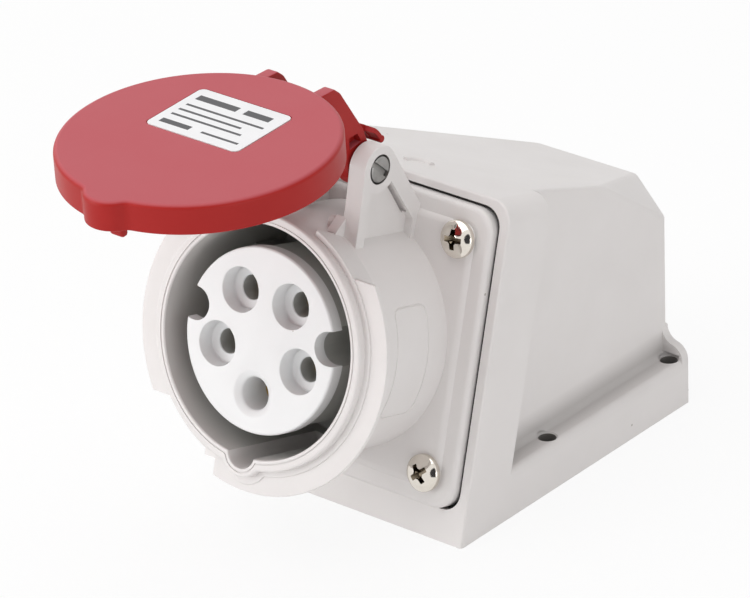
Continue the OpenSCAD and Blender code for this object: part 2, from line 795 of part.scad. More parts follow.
module lid() {
    color(red) lid_frame() difference() {
        union() {
            lid_shell();
            along_x(arm_in, arm_out) arm_outline();
            along_x(-arm_out, -arm_in) arm_outline();
            along_x(-arm_out, arm_out) hood_outline();
            tongue_block();
        }
        // Room for the keyway lip under the lug, round the tongue
        difference() {
            translate([0, lug_u + 0.8, lid_edge_w - over])
                cylinder(r = key_r + lug_room, h = lid_ceiling - lid_edge_w + over);
            tongue_block();
        }
        for (x0 = [arm_out - arm_pocket, -arm_out - arm_pocket]) along_x(x0, x0 + 2 * arm_pocket) arm_hollow();
        at_hinge() cylinder(r = pin_r + fit_gap, h = big, center = true);
    }
}

module lid_gasket() {
    color(black) lid_frame() translate([0, 0, collar_h + seal_gap])
        linear_extrude(lid_ceiling - collar_h - seal_gap) difference() {
            circle(bore_r + seal_out);
            circle(bore_r - seal_in);
            // Gap for the tongue
            translate([0, lug_u]) circle(seal_notch);
        }
}

module lid_label() {
    color(white) lid_frame() translate([label_x, label_u, lid_top_w]) linear_extrude(label_t)
        round_rect(label_width, label_height, label_corner);
}

wall_box();
flange_gasket();
collar_flange();
flange_screw(-1, 1);  // flange_screw_tl
flange_screw(1, 1);  // flange_screw_tr
flange_screw(-1, -1);  // flange_screw_bl
flange_screw(1, -1);  // flange_screw_br
contact_insert();
terminal_carrier();
carrier_screw(carrier_screw_turn + 180);  // carrier_screw_left
carrier_screw(carrier_screw_turn);  // carrier_screw_right
for (p = POLES) {
    contact(p);
    spring_ring(p);
    terminal_screw(p);
}
hinge_pin();
lid_spring();
cable_grommet();
lid();
lid_gasket();
lid_label();
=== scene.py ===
"""Wall-mounted industrial power socket with its red lid open: the looks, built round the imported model."""

import json
import math

import bmesh
import bpy
from mathutils import Matrix, Vector


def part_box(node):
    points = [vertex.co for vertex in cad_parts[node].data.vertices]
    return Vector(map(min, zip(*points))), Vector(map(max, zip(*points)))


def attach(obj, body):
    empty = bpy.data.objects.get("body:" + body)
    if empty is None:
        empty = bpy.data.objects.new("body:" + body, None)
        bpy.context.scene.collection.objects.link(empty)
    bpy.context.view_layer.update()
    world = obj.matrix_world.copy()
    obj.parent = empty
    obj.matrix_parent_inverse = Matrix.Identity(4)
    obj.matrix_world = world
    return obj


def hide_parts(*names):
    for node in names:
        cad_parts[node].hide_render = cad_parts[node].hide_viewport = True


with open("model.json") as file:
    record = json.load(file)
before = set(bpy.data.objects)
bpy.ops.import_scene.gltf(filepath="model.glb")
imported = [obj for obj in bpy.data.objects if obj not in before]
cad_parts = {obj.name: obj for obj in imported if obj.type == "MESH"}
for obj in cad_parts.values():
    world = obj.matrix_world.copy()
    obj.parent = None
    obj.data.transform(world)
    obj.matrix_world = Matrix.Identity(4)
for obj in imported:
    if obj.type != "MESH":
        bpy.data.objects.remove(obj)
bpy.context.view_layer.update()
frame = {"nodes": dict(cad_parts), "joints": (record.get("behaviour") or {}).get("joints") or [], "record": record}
scene = bpy.context.scene
scene.view_settings.view_transform = "Standard"


# The studio: a white table top that runs back out of sight, with softboxes overhead, front left and right.
# The camera is a long lens, set low to the right of the socket and turned down on it.
MM = 0.001
CAMERA_AZIMUTH = math.radians(40.13)
CAMERA_ELEVATION = math.radians(27.06)
CAMERA_ROLL = math.radians(-2.1)
CAMERA_PLACE = Vector((764.74, -951.14, 653.32)) * MM
LENS_MM = 262.8
SENSOR_MM = 36.0
NEAREST = 0.05
TABLE_HALF = 3.0
TABLE_WHITE = (0.92, 0.92, 0.92, 1)
TABLE_SHADOW = 0.14
SEEN_WHITE = (1, 1, 1, 1)
CAST_WHITE = (1, 0.99, 0.985, 1)
CAST_STRENGTH = 0.52
CARD_DARK = (0.05, 0.05, 0.055, 1)
CARD_AIM = (0.62, -0.72, 0.25)
CARD_WIDTH = math.radians(46)
SOFTBOXES = [
    ("overhead_softbox", (-0.15, -0.25, 1.1), (0, -0.03, 0.04), (1.3, 1.3), 7.0),
    ("left_softbox", (-0.75, -1.0, 0.32), (0, -0.06, 0.04), (0.9, 0.7), 6.6),
    ("right_softbox", (1.2, -0.45, 0.16), (0, -0.03, 0.04), (1.0, 0.6), 3.4),
]


def set_inputs(node, **values):
    """Sets constants on the named inputs of a node."""
    for name, value in values.items():
        node.inputs[name.replace("_", " ")].default_value = value


def add_node(tree, kind, **values):
    """One shader or geometry node, with the constants of its named inputs set."""
    made = tree.nodes.new(kind)
    set_inputs(made, **values)
    return made


def add_object(name, data):
    """An object linked into the scene."""
    made = bpy.data.objects.new(name, data)
    scene.collection.objects.link(made)
    return made


def add_material(name):
    """A new material; gives it with its tree and its shader."""
    made = bpy.data.materials.new(name)
    made.use_nodes = True
    return made, made.node_tree, made.node_tree.nodes["Principled BSDF"]


def add_math(tree, operation, first, second=0.0):
    """One math node on one or two links or constants; gives its output."""
    made = tree.nodes.new("ShaderNodeMath")
    made.operation = operation
    for socket, value in zip(made.inputs, (first, second)):
        if isinstance(value, (int, float)):
            socket.default_value = value
        else:
            tree.links.new(value, socket)
    return made.outputs[0]


def mix_shaders(tree, share, first, second):
    """A mix of two shader nodes, from the first to the second as the share grows."""
    made = add_node(tree, "ShaderNodeMixShader")
    for socket, source in zip(made.inputs, (share, first.outputs[0], second.outputs[0])):
        tree.links.new(source, socket)
    return made


def seen_directly(tree):
    """Mask of the rays that show a background as it is: camera, mirror and clear rays."""
    paths = add_node(tree, "ShaderNodeLightPath")
    mirrored = add_math(tree, "MAXIMUM", paths.outputs["Is Camera Ray"], paths.outputs["Is Glossy Ray"])
    return add_math(tree, "MAXIMUM", mirrored, paths.outputs["Is Transmission Ray"])


def lay_floor():
    """One large flat sheet under the base that keeps a share of the object's shadow."""
    mesh = bpy.data.meshes.new("table_top")
    corners = [(x * TABLE_HALF, y * TABLE_HALF, 0) for x, y in ((-1, -1), (1, -1), (1, 1), (-1, 1))]
    mesh.from_pydata(corners, [], [(0, 1, 2, 3)])
    floor = add_object("table_top", mesh)
    material, tree, shader = add_material("white_table")
    set_inputs(shader, Base_Color=TABLE_WHITE, Roughness=0.6, Specular_IOR_Level=0.2)
    white = add_node(tree, "ShaderNodeEmission", Color=SEEN_WHITE, Strength=1.0)
    share = add_math(tree, "MULTIPLY", seen_directly(tree), 1 - TABLE_SHADOW)
    surface = mix_shaders(tree, share, shader, white)
    tree.links.new(surface.outputs[0], tree.nodes["Material Output"].inputs["Surface"])
    mesh.materials.append(material)


def light_world():
    """White all round, with one dark card beside the camera that bright metal mirrors."""
    world = bpy.data.worlds.new("studio")
    scene.world = world
    world.use_nodes = True
    tree = world.node_tree
    tree.nodes.clear()
    output = add_node(tree, "ShaderNodeOutputWorld")
    seen = add_node(tree, "ShaderNodeBackground", Color=SEEN_WHITE, Strength=1.0)
    card = add_node(tree, "ShaderNodeBackground", Color=CARD_DARK, Strength=1.0)
    cast = add_node(tree, "ShaderNodeBackground", Color=CAST_WHITE, Strength=CAST_STRENGTH)
    paths = add_node(tree, "ShaderNodeLightPath")
    place = add_node(tree, "ShaderNodeTexCoord")
    toward = tree.nodes.new("ShaderNodeVectorMath")
    toward.operation = "DOT_PRODUCT"
    toward.inputs[1].default_value = Vector(CARD_AIM).normalized()
    tree.links.new(place.outputs["Generated"], toward.inputs[0])
    inside = add_math(tree, "GREATER_THAN", toward.outputs["Value"], math.cos(CARD_WIDTH / 2))
    carded = add_math(tree, "MULTIPLY", inside, paths.outputs["Is Glossy Ray"])
    mirrored = mix_shaders(tree, carded, seen, card)
    surface = mix_shaders(tree, seen_directly(tree), cast, mirrored)
    tree.links.new(surface.outputs[0], output.inputs["Surface"])


def hang_softbox(name, place, target, size, watts):
    """A rectangular area lamp turned to a point on the object."""
    lamp = bpy.data.lights.new(name, "AREA")
    lamp.shape = "RECTANGLE"
    lamp.size, lamp.size_y = size
    lamp.energy = watts
    box = add_object(name, lamp)
    aim = Vector(target) - Vector(place)
    box.matrix_world = Matrix.Translation(place) @ aim.to_track_quat("-Z", "Y").to_matrix().to_4x4()


def set_camera():
    """The camera at its measured place, turned and rolled as in the photo."""
    data = bpy.data.cameras.new("photo_camera")
    data.sensor_width = SENSOR_MM
    data.sensor_fit = "HORIZONTAL"
    data.lens = LENS_MM
    data.clip_start = NEAREST
    camera = add_object("photo_camera", data)
    camera.matrix_world = (
        Matrix.Translation(CAMERA_PLACE)
        @ Matrix.Rotation(CAMERA_AZIMUTH, 4, "Z")
        @ Matrix.Rotation(math.pi / 2 - CAMERA_ELEVATION, 4, "X")
        @ Matrix.Rotation(CAMERA_ROLL, 4, "Z")
    )
    scene.camera = camera


set_camera()
lay_floor()
light_world()
for softbox in SOFTBOXES:
    hang_softbox(*softbox)

# The wall box: one injection moulding in warm light grey, flat on the wall side, with a skirt that
# carries the wall screws, a sloping roof with two corner facets and a tilted frame for the flange.
# It is joined from slab, skirt and housing, then the recess, cavity and screw holes are cut.
mounts = {mount["name"]: mount for mount in frame["record"]["mounts"]}
BOX_CORNER = Vector(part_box("wall_box")[1]) / MM
BASE_HALF = BOX_CORNER.x
REAR = BOX_CORNER.y
TILT = math.asin(mounts["earth_socket"]["axis"][2])
SOCKET_Y, SOCKET_Z = -54.6, 45
SOCKET = Matrix.Translation((0, SOCKET_Y, SOCKET_Z)) @ Matrix.Rotation(math.pi / 2 - TILT, 4, "X")
SIDEWAYS = Matrix(((0, 0, 1, 0), (1, 0, 0, 0), (0, 1, 0, 0), (0, 0, 0, 1)))
REARWARD = Matrix(((1, 0, 0, 0), (0, 0, -1, REAR), (0, 1, 0, 0), (0, 0, 0, 1)))
FRAME_FRONT = -3.0
FRAME_BACK = -19.0
FRAME_TOP = 40.6
FRAME_FOOT = -60.0
FRAME_CORNER = 5.5
FRAME_EDGE = 0.8
RECESS_HALF = 38.4
RECESS_SILL = -37.8
RECESS_FLOOR = -7.0
RECESS_CORNER = 5.0
OPENING_HALF = 34.5
OPENING_CORNER = 3.0
SKIRT_HEIGHT = 12.3
SKIRT_FRONT = -52.0
SKIRT_EDGE = 0.8
SHOULDER = 4.2
END_COVE = 4.0
END_COVE_TOP = 20.28
END_LEAN = 76.6
END_THICK = 2.4
END_EDGE = 1.3
SEAT = 12.7
SEAT_COVE = 1.6
SEAT_RIM = 2.6
HOLE_CLEAR = 1.2
HOLE_FOOT = 0.5
# Painted shade: a soft darker band along the inner corner between the housing walls and the shelf; CORNER_WIDE is
# its reach, CORNER_FRONT its front end.
CORNER_WIDE = 7.0
CORNER_FRONT = -44.0
CORNER_PAINTED_SHADE = (0.46, 0.44, 0.43)
SHELF_EDGE = 1.5
HOUSING_HALF = 34.7
HOUSING_ROUNDS = (0.7, 0.8, 1.4)
CAVITY_ROUNDS = (2.5, 1.0, 1.0)
SHELL = 2.6
ROOF_REAR = 59.9
FACET_WIDE = 9.2
FACET_TALL = 10.0
SLOPE_WIDE = 30.7
SLOPE_TALL = 6.8
RIDGE_Y = -25.8
ROOF_SLOPE = (79.10 - ROOF_REAR) / (REAR + 25.53)
FACET_FRONT = 1.43
WALL_HOLE_RADIUS = 2.25
WALL_SCREWS = mounts["wall_screws"]["dims"]
WALL_HOLES = [
    (side * WALL_SCREWS["spacing_x_mm"] / 2, end * WALL_SCREWS["spacing_y_mm"] / 2)
    for side in (-1, 1) for end in (-1, 1)
]
ENTRY_RADIUS = 8.0
ENTRY_HEIGHT = 30.0
ENTRY_REACH = 6
MARK_CENTRE = (6.0, -10.4)
MARK_BEND = 3.9
MARK_TURNS = (188, 312)
MARK_RADIUS = 0.75
MARK_RISE = 0.75
RECESS_CUT_TOP = 60
GROUND_HALF, GROUND_DEEP = 200, 90
SLIVER = 0.003
ROUND_STEP = 10.0
CREASE = math.radians(30)
MOTTLE = (0.3, 0.7)
GREY_GRAIN = (2400.0, 0.00002)


def arc(cx, cy, radius, start, end, steps):
    """Points of a circle's arc between two angles in degrees, both ends included."""
    turns = [math.radians(start + (end - start) * index / steps) for index in range(steps + 1)]
    return [(cx + radius * math.cos(turn), cy + radius * math.sin(turn)) for turn in turns]


def rounded(corners):
    """A closed outline through (x, y, radius) corners, each made an arc that meets both its sides."""
    points = []
    for index, (x, y, radius) in enumerate(corners):
        if radius <= 0:
            points.append((x, y))
            continue
        corner = Vector((x, y))
        back = (Vector(corners[index - 1][:2]) - corner).normalized()
        ahead = (Vector(corners[(index + 1) % len(corners)][:2]) - corner).normalized()
        half = back.angle(ahead) / 2
        centre = corner + (back + ahead).normalized() * (radius / math.sin(half))
        start = corner + back * (radius / math.tan(half)) - centre
        end = corner + ahead * (radius / math.tan(half)) - centre
        first = math.degrees(math.atan2(start.y, start.x))
        sweep = (math.degrees(math.atan2(end.y, end.x)) - first + 180) % 360 - 180
        steps = max(2, math.ceil(abs(sweep) / ROUND_STEP))
        points += arc(centre.x, centre.y, radius, first, first + sweep, steps)
    return points


def rounded_box(left, bottom, right, top, radius):
    """Outline of a rectangle with round corners."""
    spots = ((left, bottom), (right, bottom), (right, top), (left, top))
    return rounded([(x, y, radius) for x, y in spots])


def solid(shape, name, place=Matrix()):
    """A linked object from a closed bmesh, moved to its place."""
    bmesh.ops.recalc_face_normals(shape, faces=shape.faces)
    mesh = bpy.data.meshes.new(name)
    shape.to_mesh(mesh)
    shape.free()
    mesh.transform(place)
    return add_object(name, mesh)


def prism(outline, low, high, place=Matrix(), top=0.0, foot=0.0, steps=3):
    """A closed solid over a flat outline, with its upper and lower rims rounded."""
    shape = bmesh.new()
    base = shape.faces.new([shape.verts.new((x, y, low)) for x, y in outline])
    raised = bmesh.ops.extrude_face_region(shape, geom=[base])["geom"]
    lifted = [item for item in raised if isinstance(item, bmesh.types.BMVert)]
    bmesh.ops.translate(shape, verts=lifted, vec=(0, 0, high - low))
    if len([face for face in shape.faces if len(face.verts) == len(outline)]) == 1:
        shape.faces.new(list(base.verts))
    bmesh.ops.recalc_face_normals(shape, faces=shape.faces)
    for level, radius in ((high, top), (low, foot)):
        if radius:
            rim = [edge for edge in shape.edges if all(abs(vert.co.z - level) < 1e-5 for vert in edge.verts)]
            bmesh.ops.bevel(
                shape, geom=rim, offset=radius, offset_type="OFFSET", profile_type="SUPERELLIPSE",
                segments=steps, profile=0.5, affect="EDGES", clamp_overlap=True
            )
    return solid(shape, "prism", place)


def turned(profile, place=Matrix(), steps=160):
    """A closed solid turned about the local z axis from (radius, height) points."""
    shape = bmesh.new()
    rings = []
    for radius, height in profile:
        count = 1 if radius < 1e-6 else steps
        spots = [2 * math.pi * index / steps for index in range(count)]
        rings.append([shape.verts.new((radius * math.cos(s), radius * math.sin(s), height)) for s in spots])
    for lower, upper in zip(rings, rings[1:] + rings[:1]):
        if len(lower) == 1 and len(upper) == 1:
            continue
        for index in range(steps):
            after = (index + 1) % steps
            loop = [lower[index % len(lower)], lower[after % len(lower)]]
            loop += [upper[after % len(upper)], upper[index % len(upper)]]
            shape.faces.new(list(dict.fromkeys(loop)))
    return solid(shape, "turned", place)


def convex(corners, faces, softness):
    """A flat-faced solid whose listed edges are rounded, each by its own radius."""
    shape = bmesh.new()
    weight = shape.edges.layers.float.new("bevel_weight_edge")
    verts = {name: shape.verts.new(spot) for name, spot in corners.items()}
    for names in faces:
        shape.faces.new([verts[name] for name in names])
    most = max(softness.values())
    for (first, second), radius in softness.items():
        shape.edges.get((verts[first], verts[second]))[weight] = radius / most
    made = solid(shape, "convex")
    bevel = made.modifiers.new("round", "BEVEL")
    bevel.limit_method = "WEIGHT"
    bevel.width = most
    bevel.segments = 6
    return settled(made)


def settled(thing):
    """The same object with its modifiers worked into its mesh."""
    view = bpy.context.evaluated_depsgraph_get()
    mesh = bpy.data.meshes.new_from_object(thing.evaluated_get(view))
    thing.modifiers.clear()
    thing.data = mesh
    return thing


def carve(base, joined, cut):
    """The base with some solids joined on and then others cut away; the tools are used up."""
    for tools, operation in ((joined, "UNION"), (cut, "DIFFERENCE")):
        for tool in tools:
            step = base.modifiers.new(operation, "BOOLEAN")
            step.solver = "MANIFOLD"
            step.operation = operation
            step.object = tool
    settled(base)
    for tool in (*joined, *cut):
        bpy.data.objects.remove(tool)
    return base


def without_slivers(mesh):
    """Closes up the needle faces that the joining and cutting leave, which have no area to show."""
    shape = bmesh.new()
    shape.from_mesh(mesh)
    bmesh.ops.remove_doubles(shape, verts=shape.verts, dist=SLIVER)
    bmesh.ops.dissolve_degenerate(shape, edges=shape.edges, dist=SLIVER)
    shape.to_mesh(mesh)
    shape.free()


def dress(piece, name, material, body, replaced):
    """Brings a finished solid from millimetres into the frame and gives it to its body."""
    mesh = piece.data
    piece.name = name
    mesh.name = name
    without_slivers(mesh)
    mesh.transform(Matrix.Scale(MM, 4))
    mesh.materials.clear()
    mesh.materials.append(material)
    mesh.shade_smooth()
    mesh.set_sharp_from_angle(angle=CREASE)
    weighted = piece.modifiers.new("weighted", "WEIGHTED_NORMAL")
    weighted.keep_sharp = True
    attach(piece, body)
    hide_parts(*replaced)


def housing(half, rear, drop, floor, front, roof_round, facet_round, rear_round):
    """The roofed body behind the frame, with a small facet at its right corner and a wide slope on the left."""
    front_foot = SOCKET @ Vector((0, (floor - SOCKET_Z - front * math.sin(TILT)) / math.cos(TILT), front))
    fork = FACET_FRONT - (REAR - rear)

    def roof(y):
        """Height of the roof at a distance from the front."""
        return ROOF_REAR - drop + ROOF_SLOPE * (REAR - y)

    corners = {
        "fork_r": (half, fork, roof(fork)),
        "top_r": (half - FACET_WIDE, rear, roof(rear)),
        "low_r": (half, rear, roof(rear) - FACET_TALL),
        "top_l": (SLOPE_WIDE - half, rear, roof(rear)),
        "low_l": (-half, rear, roof(rear) - SLOPE_TALL),
    }
    for side, name in ((1, "_r"), (-1, "_l")):
        corners["foot" + name] = (side * half, front_foot.y, floor)
        corners["ridge" + name] = (side * half, RIDGE_Y, roof(RIDGE_Y))
        corners["heel" + name] = (side * half, rear, floor)
    faces = [
        ("foot_r", "ridge_r", "fork_r", "low_r", "heel_r"), ("foot_l", "heel_l", "low_l", "ridge_l"),
        ("ridge_r", "ridge_l", "top_l", "top_r", "fork_r"), ("fork_r", "top_r", "low_r"),
        ("ridge_l", "low_l", "top_l"), ("top_r", "top_l", "low_l", "heel_l", "heel_r", "low_r"),
        ("foot_r", "heel_r", "heel_l", "foot_l"), ("foot_r", "foot_l", "ridge_l", "ridge_r"),
    ]
    softness = {
        ("ridge_r", "fork_r"): roof_round, ("ridge_l", "low_l"): roof_round, ("ridge_l", "top_l"): facet_round,
        ("fork_r", "top_r"): facet_round, ("fork_r", "low_r"): facet_round, ("top_r", "low_r"): facet_round,
        ("top_r", "top_l"): rear_round, ("top_l", "low_l"): rear_round,
        ("low_r", "heel_r"): rear_round, ("low_l", "heel_l"): rear_round,
    }
    return convex(corners, faces, softness)


def mirrored(half):
    """A whole outline from its right half, which runs up from the base."""
    return half + [(-x, z) for x, z in reversed(half)]


def shelf_profile():
    """Section of the skirt along the housing: flat shelf for the wall screws and a cove behind it."""
    half = [(BASE_HALF, 0.0)] + arc(BASE_HALF - SHELF_EDGE, SEAT - SHELF_EDGE, SHELF_EDGE, 0, 90, 6)
    half += arc(HOUSING_HALF + SEAT_COVE, SEAT + SEAT_COVE, SEAT_COVE, 270, 180, 10)
    return mirrored(half + [(HOUSING_HALF - 1.0, SEAT + SEAT_COVE + 0.5)])


def end_profile():
    """Section of the skirt's rear end: round shoulder and a cove that runs up the housing wall."""
    half = [(BASE_HALF, 0.0)] + arc(BASE_HALF - SHOULDER, SKIRT_HEIGHT, SHOULDER, 0, END_LEAN, 8)
    half += arc(HOUSING_HALF + END_COVE, END_COVE_TOP, END_COVE, 180 + END_LEAN, 180, 8)
    return mirrored(half + [(HOUSING_HALF - 1.0, END_COVE_TOP + 0.5)])


def wire(tree, *links):
    """Links nodes, each link given as node, output, node and input."""
    for source, output, target, entry in links:
        tree.links.new(source.outputs[output], target.inputs[entry])


def new_tree(name, kind, inputs, outputs):
    """A node tree with named sockets; gives the tree with its entry and exit nodes."""
    tree = bpy.data.node_groups.new(name, kind)
    for way, sockets in (("INPUT", inputs), ("OUTPUT", outputs)):
        for label, held in sockets.items():
            tree.interface.new_socket(label, in_out=way, socket_type="NodeSocket" + held)
    return tree, add_node(tree, "NodeGroupInput"), add_node(tree, "NodeGroupOutput")


def grown(name, points, links, tree, values):
    """An object made by a geometry node tree from points and links, with the tree's named inputs set."""
    mesh = bpy.data.meshes.new(name)
    mesh.from_pydata(points, links, [])
    made = add_object(name, mesh)
    step = made.modifiers.new(name, "NODES")
    step.node_group = tree
    for socket in tree.interface.items_tree:
        if socket.name in values:
            step[socket.identifier] = values[socket.name]
    return settled(made)


def rod_along(path, radius, closed=True):
    """A thin round rod swept along a path by geometry nodes, to join on or cut; an open one has capped ends."""
    tree, entry, leave = new_tree(
        "rod_along_path", "GeometryNodeTree", {"Path": "Geometry", "Rod Radius": "Float"}, {"Rod": "Geometry"}
    )
    curve = add_node(tree, "GeometryNodeMeshToCurve")
    section = add_node(tree, "GeometryNodeCurvePrimitiveCircle", Resolution=12)
    sweep = add_node(tree, "GeometryNodeCurveToMesh", Fill_Caps=True)
    whole = add_node(tree, "GeometryNodeRealizeInstances")
    coated = add_node(tree, "GeometryNodeSetMaterial", Material=warm_grey)
    wire(
        tree,
        (entry, "Path", curve, "Mesh"),
        (entry, "Rod Radius", section, "Radius"),
        (curve, "Curve", sweep, "Curve"),
        (section, "Curve", sweep, "Profile Curve"),
        (sweep, "Mesh", whole, "Geometry"),
        (whole, "Geometry", coated, "Geometry"),
        (coated, "Geometry", leave, "Rod"),
    )
    links = [(index, index + 1) for index in range(len(path) - 1)] + [(len(path) - 1, 0)] * closed
    return grown("rod_path", path, links, tree, {"Rod Radius": radius})


def moulded_grain():
    """Shared effect of all finishes: a broad faint mottle, a fine spark grain and a few small specks."""
    scales = {name: "Float" for name in ("Mottle Scale", "Grain Scale", "Speck Scale")}
    masks = {name: "Float" for name in ("Mottle", "Grain", "Specks")}
    group, entry, leave = new_tree("moulded_grain", "ShaderNodeTree", scales, masks)
    place = add_node(group, "ShaderNodeTexCoord")
    mottle = add_node(group, "ShaderNodeTexNoise", Detail=4.0, Roughness=0.55)
    grain = add_node(group, "ShaderNodeTexNoise", Detail=2.0, Roughness=0.5)
    cells = add_node(group, "ShaderNodeTexVoronoi", Randomness=1.0)
    for texture, scale in zip((mottle, grain, cells), scales):
        wire(group, (place, "Object", texture, "Vector"), (entry, scale, texture, "Scale"))
    rare = add_math(group, "GREATER_THAN", cells.outputs["Color"], 0.86)
    small = add_math(group, "LESS_THAN", cells.outputs["Distance"], 0.07)
    wire(group, (mottle, 0, leave, "Mottle"), (grain, 0, leave, "Grain"))
    group.links.new(add_math(group, "MULTIPLY", rare, small), leave.inputs["Specks"])
    return group


def mix_colours(tree, factor, first, second):
    """A colour between two, by a mask; each colour is a constant or a link."""
    made = tree.nodes.new("ShaderNodeMix")
    made.data_type = "RGBA"
    tree.links.new(factor, made.inputs[0])
    for socket, value in ((made.inputs[6], first), (made.inputs[7], second)):
        if isinstance(value, tuple):
            socket.default_value = (*value, 1)
        else:
            tree.links.new(value, socket)
    return made.outputs[2]


def ramp(tree, value, start, end, low=0.0, high=1.0):
    """A value that runs from low to high as another runs from its start to its end."""
    made = add_node(tree, "ShaderNodeMapRange", From_Min=start, From_Max=end, To_Min=low, To_Max=high)
    tree.links.new(value, made.inputs["Value"])
    return made.outputs["Result"]


def cover(material, mask, colour):
    """Lays one more colour over a finish's own, where a mask of its tree says."""
    tree = material.node_tree
    base = tree.nodes["Principled BSDF"].inputs["Base Color"]
    tree.links.new(mix_colours(tree, mask, base.links[0].from_socket, colour), base)


def finish(name, tones, speck, gloss, scales, bump, **constants):
    """A finish mottled between two tones, with rare specks if wanted, uneven gloss and a fine raised grain."""
    material, tree, shader = add_material(name)
    set_inputs(shader, **constants)
    grain = add_node(tree, "ShaderNodeGroup")
    grain.node_tree = MOULDED_GRAIN
    for socket, scale in zip(grain.inputs, scales):
        socket.default_value = scale
    mottle = grain.outputs["Mottle"]
    tree.links.new(mix_colours(tree, ramp(tree, mottle, *MOTTLE), *tones), shader.inputs["Base Color"])
    tree.links.new(ramp(tree, mottle, *MOTTLE, *gloss), shader.inputs["Roughness"])
    strength, depth = bump
    rise = add_node(tree, "ShaderNodeBump", Strength=strength, Distance=depth)
    wire(tree, (grain, "Grain", rise, "Height"), (rise, "Normal", shader, "Normal"))
    if speck:
        cover(material, grain.outputs["Specks"], speck)
    return material


def plastic(name, colour, shade, speck, roughness, grain, **constants):
    """A moulded plastic finish; the grain is its scale and its depth."""
    scale, depth = grain
    gloss = (roughness - 0.04, roughness + 0.05)
    return finish(name, (colour, shade), speck, gloss, (55.0, scale, 210.0), (0.35, depth), **constants)


def shade_inside(piece, material, inside, needed=all):
    """Gives a second material, a painted shade, to the faces whose corners all, or any, lie inside, seen on the
    socket axis.
    """
    piece.data.materials.append(material)
    back = SOCKET.inverted() @ Matrix.Scale(1 / MM, 4)
    chosen = [inside(back @ vert.co) for vert in piece.data.vertices]
    for face in piece.data.polygons:
        if needed(chosen[index] for index in face.vertices):
            face.material_index = len(piece.data.materials) - 1


def shade_corner(material, colour):
    """Paints a soft shade along the inner corner between the housing's walls and the shelf, where the corner keeps
    light out.
    """
    tree = material.node_tree
    place = add_node(tree, "ShaderNodeTexCoord")
    parts = add_node(tree, "ShaderNodeSeparateXYZ")
    wire(tree, (place, "Object", parts, 0))
    across = add_math(tree, "SUBTRACT", add_math(tree, "ABSOLUTE", parts.outputs["X"]), HOUSING_HALF * MM)
    up = add_math(tree, "SUBTRACT", parts.outputs["Z"], SEAT * MM)
    squares = [add_math(tree, "MULTIPLY", part, part) for part in (across, up)]
    away = add_math(tree, "SQRT", add_math(tree, "ADD", *squares))
    near = ramp(tree, away, CORNER_WIDE * MM, 0.0)
    behind = ramp(tree, parts.outputs["Y"], CORNER_FRONT * MM, (CORNER_FRONT + 1) * MM)
    cover(material, add_math(tree, "MULTIPLY", near, behind), colour)


def in_wall_hole(spot):
    """Whether a point, placed on the socket axis, lies on the wall of one of the wall-screw holes, where shade is
    painted.
    """
    place = SOCKET @ spot
    near = [math.hypot(place.x - x, place.y - y) < WALL_HOLE_RADIUS + 0.05 for x, y in WALL_HOLES]
    return any(near) and HOLE_FOOT - 0.05 < place.z < SEAT


MOULDED_GRAIN = moulded_grain()
warm_grey = plastic(
    "warm_grey_moulding", (0.745, 0.718, 0.708), (0.722, 0.695, 0.684), (0.45, 0.42, 0.40), 0.42, GREY_GRAIN
)
# Painted shade: a dark grey that stands for the shade inside the wall-screw holes and in the gap round the hinge
# pin.
hole_painted_shade = plastic("hole_painted_shade", (0.20, 0.19, 0.18), (0.17, 0.16, 0.15), (0.12, 0.11, 0.10), 0.55, GREY_GRAIN)
# The box's grey with a painted shade along the inner corner between housing and shelf.
box_grey_corner_shade = warm_grey.copy()
box_grey_corner_shade.name = "warm_grey_box"
shade_corner(box_grey_corner_shade, CORNER_PAINTED_SHADE)
slab_outline = rounded_box(-BASE_HALF, FRAME_FOOT, BASE_HALF, FRAME_TOP, FRAME_CORNER)
recess_outline = rounded_box(-RECESS_HALF, RECESS_SILL, RECESS_HALF, RECESS_HALF, RECESS_CORNER)
opening_outline = rounded_box(-OPENING_HALF, -OPENING_HALF, OPENING_HALF, OPENING_HALF, OPENING_CORNER)
ground = prism(rounded_box(-GROUND_HALF, -GROUND_HALF, GROUND_HALF, GROUND_HALF, 1), -GROUND_DEEP, 0)
slab = prism(slab_outline, FRAME_BACK, FRAME_FRONT, SOCKET, top=FRAME_EDGE)
shelf = prism(shelf_profile(), 0, REAR - SKIRT_FRONT, REARWARD, foot=SKIRT_EDGE)
skirt_end = prism(end_profile(), 0, END_THICK, REARWARD, top=END_EDGE, foot=SKIRT_EDGE)
body_shell = housing(HOUSING_HALF, REAR, 0, 1.0, FRAME_BACK + 6, *HOUSING_ROUNDS)
cavity = housing(HOUSING_HALF - SHELL, REAR - SHELL, 2 * SHELL, 3.0, FRAME_BACK + 4, *CAVITY_ROUNDS)
recess = prism(recess_outline, RECESS_FLOOR, RECESS_CUT_TOP, SOCKET)
opening = prism(opening_outline, FRAME_BACK + 3, RECESS_FLOOR + 2, SOCKET)
hole_profile = [
    (0, -2), (WALL_HOLE_RADIUS, -2), (WALL_HOLE_RADIUS, HOLE_FOOT), (WALL_HOLE_RADIUS, SEAT - 0.4),
    (SEAT_RIM, SEAT), (SEAT_RIM, SEAT + HOLE_CLEAR), (0, SEAT + HOLE_CLEAR),
]
screw_bores = [turned(hole_profile, Matrix.Translation((x, y, 0)), 64) for x, y in WALL_HOLES]
entry_profile = [
    (0, -ENTRY_REACH), (ENTRY_RADIUS, -ENTRY_REACH), (ENTRY_RADIUS, ENTRY_REACH), (0, ENTRY_REACH)
]
entry_place = Matrix.Translation((0, REAR, ENTRY_HEIGHT)) @ Matrix.Rotation(math.pi / 2, 4, "X")
cable_entry = turned(entry_profile, entry_place, 96)
